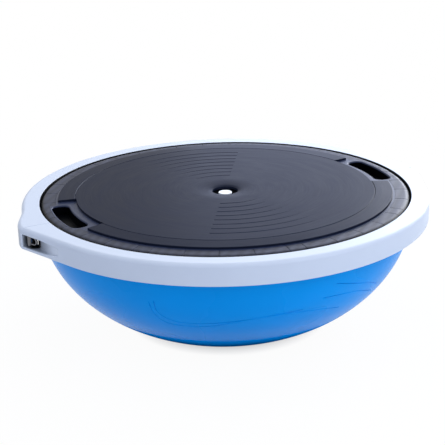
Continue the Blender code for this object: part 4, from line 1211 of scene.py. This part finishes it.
class TRAINER_OT_bladder(bpy.types.Operator):
    """Model the inflated blue dome"""

    bl_idname = "trainer.bladder"
    bl_label = "Dome"

    def execute(self, context):
        scene = context.scene
        ring, platform, dome = scene.trainer_ring, scene.trainer_platform, scene.trainer_dome
        piece = spun("dome_skin", self.profile(ring, platform, dome), closed=False)
        combine(piece, screw_rods("flange_holes", platform, platform.screw_shank + 2 * FIT,
                                  platform.underside - 2 * dome.flange, platform.underside))
        for route in MOULDED_LINES:
            combine(piece, self.moulded_line(dome, route))
        finish = dome_finish(scene.trainer_finishes.dome, shelf_levels(ring, platform, dome)[1])
        finish_piece(piece, finish, "trainer", "dome_bladder")
        return {"FINISHED"}

    def moulded_line(self, dome, route):
        """A fine wire that lies half in the skin and leaves a moulded line, the same on both sides."""
        points = []
        for azimuth, height in route:
            radius = dome_radius(dome, height) + dome.line_radius - dome.line_depth
            points.append((*polar(radius, azimuth), height))
        return repeat(wire("moulded_line", points, dome.line_radius, sides=8, bends=6), 2, 180)

    def pressed(self, dome, height):
        """A height of the free dome, after the floor has pressed its crown flat."""
        if height <= -dome.blend:
            return 0.0
        if height >= dome.blend:
            return height
        return (height + dome.blend) ** 2 / (4 * dome.blend)

    def outer_points(self, ring, platform, dome, steps):
        """The outer skin from just under the ring down to the edge of the flat foot."""
        high = shelf_levels(ring, platform, dome)[1] - FIT - dome.wall / 2
        power = dome.power / 2
        first = math.acos(((dome.centre - high) / dome.depth) ** power)
        last = math.acos(((dome.centre + dome.blend) / dome.depth) ** power)
        points = []
        for step in range(steps + 1):
            angle = first + (last - first) * step / steps
            height = dome.centre - dome.depth * math.cos(angle) ** (1 / power)
            points.append((dome.radius * math.sin(angle) ** (1 / power), self.pressed(dome, height)))
        return points

    def profile(self, ring, platform, dome):
        """Cross-section from the inside of the foot, round the top, to the outside."""
        outside = self.outer_points(ring, platform, dome, SKIN_STEPS)
        coarse = self.outer_points(ring, platform, dome, LINING_STEPS)
        inside = []
        for index, (radius, height) in enumerate(coarse):
            before = Vector(coarse[max(index - 1, 0)])
            after = Vector(coarse[min(index + 1, len(coarse) - 1)])
            along = (after - before).normalized()
            inside.append((radius + along.y * dome.wall, height - along.x * dome.wall))
        inside[-1] = (coarse[-1][0], dome.wall)
        top = platform.underside - FIT
        shoulder = shelf_levels(ring, platform, dome)[1] - FIT
        inner = ring.radius - ring.band
        neck = inner - ring.shelf_width - FIT
        hole = dome.valve_neck + FIT
        points = [(0, dome.wall)] + inside[::-1]
        points += [(inside[0][0] - dome.wall / 2, shoulder - dome.wall),
                   (neck - dome.wall, shoulder - dome.wall),
                   (neck - dome.wall, top - dome.top_skin), (hole, top - dome.top_skin), (hole, top),
                   (inner - FIT, top), (inner - FIT, top - dome.flange), (neck, top - dome.flange),
                   (neck, shoulder), (outside[0][0] - dome.wall / 2, shoulder)]
        return points + outside + [(0, 0)]


class TRAINER_OT_plug(bpy.types.Operator):
    """Model the white valve plug"""

    bl_idname = "trainer.plug"
    bl_label = "Valve Plug"

    def execute(self, context):
        scene = context.scene
        sizes = scene.trainer_hardware
        top, tip = PLUG_HIGH.z, PLUG_LOW.z
        under = top - sizes.plug_thickness
        edge = sizes.plug_edge
        profile = [(0, top)] + quarter(edge, (sizes.plug_head - edge, top - edge), 90)
        profile += [(sizes.plug_head, under), (sizes.plug_stem, under)]
        rib = sizes.plug_rib - sizes.plug_stem
        for part in (1 / 3, 2 / 3):
            level = under + (tip - under) * part
            profile += [(sizes.plug_stem, level + rib), (sizes.plug_rib, level)]
            profile.append((sizes.plug_stem, level - 3 * rib))
        profile += [(sizes.plug_stem, tip + rib), (sizes.plug_stem - rib, tip), (0, tip)]
        piece = spun("plug_cap", profile, FINE_STEPS, closed=False)
        finish_piece(piece, plug_finish(scene.trainer_finishes.plug), "plug", "valve_plug")
        return {"FINISHED"}


class TRAINER_OT_anchors(bpy.types.Operator):
    """Model the steel anchor rings in the lugs' scoops"""

    bl_idname = "trainer.anchors"
    bl_label = "Anchor Rings"

    def execute(self, context):
        scene = context.scene
        ring, sizes = scene.trainer_ring, scene.trainer_hardware
        finish = steel_finish(scene.trainer_finishes.steel)
        end = math.radians(face_end(ring))
        pin = pin_centre(ring, sizes)
        for side, across, along in (("left", pin.x, end - math.pi / 2),
                                    ("right", -pin.x, -end - math.pi / 2)):
            node = f"anchor_ring_{side}"
            low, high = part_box(node)
            piece = self.anchor(sizes, (high.z - low.z) / 2)
            piece.name = f"anchor_eye_{side}"
            middle = (low.z + high.z) / 2
            move(piece, Matrix.Translation((across, pin.y, middle)) @ Matrix.Rotation(along, 4, "Z"))
            finish_piece(piece, finish, f"anchor_{side}", node)
        return {"FINISHED"}

    def anchor(self, sizes, half):
        """A barrel with a wire eye, at the origin, with the eye along X."""
        bore = sizes.pin_radius + sizes.pin_clearance
        outer = bore + sizes.barrel_wall
        edge = sizes.barrel_edge
        profile = [(bore, half), (outer - edge, half), (outer, half - edge), (outer, edge - half),
                   (outer - edge, -half), (bore, -half)]
        piece = spun("barrel", profile, FINE_STEPS)
        start = bore + sizes.barrel_wall / 2
        route = [(start, 0, -sizes.eye_half)]
        for x, z in arc(sizes.eye_half, -90, 90, (sizes.eye_length, 0), EYE_STEP):
            route.append((x, 0, z))
        route.append((start, 0, sizes.eye_half))
        combine(piece, wire("eye", route, sizes.wire, sides=16), "UNION")
        return piece


class TRAINER_OT_hardware(bpy.types.Operator):
    """Give the valve, the pins and the screws their finishes"""

    bl_idname = "trainer.hardware"
    bl_label = "Valve, Pins and Screws"

    def execute(self, context):
        finishes = context.scene.trainer_finishes
        zinc = zinc_finish(finishes.zinc)
        steel = steel_finish(finishes.steel)
        rubber = valve_finish(finishes.valve)
        for name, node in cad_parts.items():
            if name.startswith("clamp_screw"):
                self.dress(node, zinc)
            elif name.startswith("anchor_pin"):
                self.dress(node, steel)
            elif name == "valve_body":
                self.dress(node, rubber)
        return {"FINISHED"}

    def dress(self, node, finish):
        """Put a finish on a solid of the frame that stays in view."""
        for slot in node.material_slots:
            slot.material = finish


class TRAINER_OT_studio(bpy.types.Operator):
    """Set up the floor, the lamps and the camera"""

    bl_idname = "trainer.studio"
    bl_label = "Studio"

    def execute(self, context):
        studio = context.scene.trainer_studio
        self.floor(studio)
        self.world(context.scene, studio)
        for lamp in LAMPS:
            self.lamp(*lamp)
        self.camera(context.scene, studio)
        context.scene.view_settings.view_transform = "Standard"
        return {"FINISHED"}

    def floor(self, studio):
        """A pale floor that keeps the soft shadow of the trainer, deep under it and faint round it."""
        bpy.ops.object.select_all(action="DESELECT")
        bpy.ops.mesh.primitive_plane_add(size=studio.floor_size)
        floor = bpy.context.object
        floor.name = "studio_floor"
        made = bpy.data.materials.new("painted_floor_matt")
        made.use_nodes = True
        tree = made.node_tree
        tree.nodes.clear()
        matt = add_node(tree, "ShaderNodeBsdfDiffuse", {"Color": studio.floor})
        white = add_node(tree, "ShaderNodeEmission", {"Color": (1, 1, 1, 1), "Strength": 1.0})
        place = add_node(tree, "ShaderNodeTexCoord")
        reach = add_node(tree, "ShaderNodeVectorMath", {"operation": "LENGTH"}, {0: place.outputs["Object"]})
        away = add_node(tree, "ShaderNodeValToRGB", links={"Fac": reach})
        ramp = away.color_ramp.elements
        ramp[0].position = DEEP_SHARE * studio.shade_reach
        ramp[0].color = DEEP_SHADE
        ramp[1].position = 1.0
        ramp.new(studio.shade_reach).color = FAINT_SHADE
        shown = add_node(tree, "ShaderNodeMixShader", links={0: away, 1: matt, 2: white})
        lit = add_node(tree, "ShaderNodeMixShader", links={0: self.looked_at(tree), 1: matt, 2: shown})
        below = add_node(tree, "ShaderNodeNewGeometry").outputs["Backfacing"]
        clear = add_node(tree, "ShaderNodeBsdfTransparent")
        whole = add_node(tree, "ShaderNodeMixShader", links={0: below, 1: lit, 2: clear})
        add_node(tree, "ShaderNodeOutputMaterial", links={"Surface": whole})
        floor.data.materials.append(made)

    def looked_at(self, tree):
        """1 for a ray from the camera, or one that shows the scene in metal or glass."""
        path = add_node(tree, "ShaderNodeLightPath")
        first = add_node(tree, "ShaderNodeMath", {"operation": "MAXIMUM"},
                         {0: path.outputs["Is Camera Ray"], 1: path.outputs["Is Glossy Ray"]})
        return add_node(tree, "ShaderNodeMath", {"operation": "MAXIMUM"},
                        {0: first, 1: path.outputs["Is Transmission Ray"]})

    def world(self, scene, studio):
        """An even light, and white behind the trainer."""
        world = bpy.data.worlds.new("studio_world")
        world.use_nodes = True
        tree = world.node_tree
        tree.nodes.clear()
        even = add_node(tree, "ShaderNodeBackground", {"Color": studio.even, "Strength": studio.ambient})
        white = add_node(tree, "ShaderNodeBackground", {"Color": (1, 1, 1, 1), "Strength": 1.0})
        mixed = add_node(tree, "ShaderNodeMixShader", links={0: self.looked_at(tree), 1: even, 2: white})
        add_node(tree, "ShaderNodeOutputWorld", links={"Surface": mixed})
        scene.world = world

    def lamp(self, name, place, size, power, hex_colour):
        """A square soft box that faces the trainer."""
        data = bpy.data.lights.new(name, "AREA")
        data.shape = "SQUARE"
        data.size = size
        data.energy = power
        data.color = linear(hex_colour)[:3]
        lamp = bpy.data.objects.new(name, data)
        lamp.location = place
        aim = Vector((0, 0, RING_LOW.z)) - Vector(place)
        lamp.rotation_euler = aim.to_track_quat("-Z", "Y").to_euler()
        bpy.context.scene.collection.objects.link(lamp)

    def camera(self, scene, studio):
        """The camera at the photograph's viewing angle."""
        data = bpy.data.cameras.new("photo_camera")
        data.lens = studio.lens
        data.sensor_width = SENSOR_WIDTH
        data.clip_start = NEAREST_VIEW
        camera = bpy.data.objects.new("photo_camera", data)
        scene.collection.objects.link(camera)
        tilt = math.pi / 2 - studio.camera_dip
        camera.matrix_world = (Matrix.Translation(studio.camera_place)
                               @ Matrix.Rotation(studio.camera_heading, 4, "Z")
                               @ Matrix.Rotation(tilt, 4, "X")
                               @ Matrix.Rotation(studio.camera_roll, 4, "Z"))
        scene.camera = camera


class TRAINER_PT_panel(bpy.types.Panel):
    """The trainer's pieces and their sizes"""

    bl_label = "Balance Trainer"
    bl_idname = "TRAINER_PT_panel"
    bl_space_type = "VIEW_3D"
    bl_region_type = "UI"
    bl_category = "Trainer"

    def draw(self, context):
        for operator in PIECES:
            self.layout.operator(operator.bl_idname)
        for attribute, group in GROUPS.items():
            box = self.layout.box()
            box.label(text=group.__doc__)
            for name in group.__annotations__:
                box.prop(getattr(context.scene, attribute), name)


GROUPS = {"trainer_ring": RingSizes, "trainer_platform": PlatformSizes, "trainer_dome": BladderSizes,
          "trainer_hardware": HardwareSizes, "trainer_finishes": Finishes, "trainer_studio": StudioSettings}
PIECES = (TRAINER_OT_studio, TRAINER_OT_outer_ring, TRAINER_OT_platform, TRAINER_OT_tread,
          TRAINER_OT_bladder, TRAINER_OT_plug, TRAINER_OT_anchors, TRAINER_OT_hardware)


def register():
    """Make the sizes, the operators and the panel known to Blender."""
    for attribute, group in GROUPS.items():
        bpy.utils.register_class(group)
        setattr(bpy.types.Scene, attribute, bpy.props.PointerProperty(type=group))
    for made in (*PIECES, TRAINER_PT_panel):
        bpy.utils.register_class(made)


def unregister():
    """Take them away again."""
    for made in (TRAINER_PT_panel, *reversed(PIECES)):
        bpy.utils.unregister_class(made)
    for attribute, group in reversed(list(GROUPS.items())):
        delattr(bpy.types.Scene, attribute)
        bpy.utils.unregister_class(group)


def main():
    """Model every piece."""
    register()
    bpy.ops.trainer.studio()
    bpy.ops.trainer.outer_ring()
    bpy.ops.trainer.platform()
    bpy.ops.trainer.tread()
    bpy.ops.trainer.bladder()
    bpy.ops.trainer.plug()
    bpy.ops.trainer.anchors()
    bpy.ops.trainer.hardware()


if __name__ == "__main__":
    main()
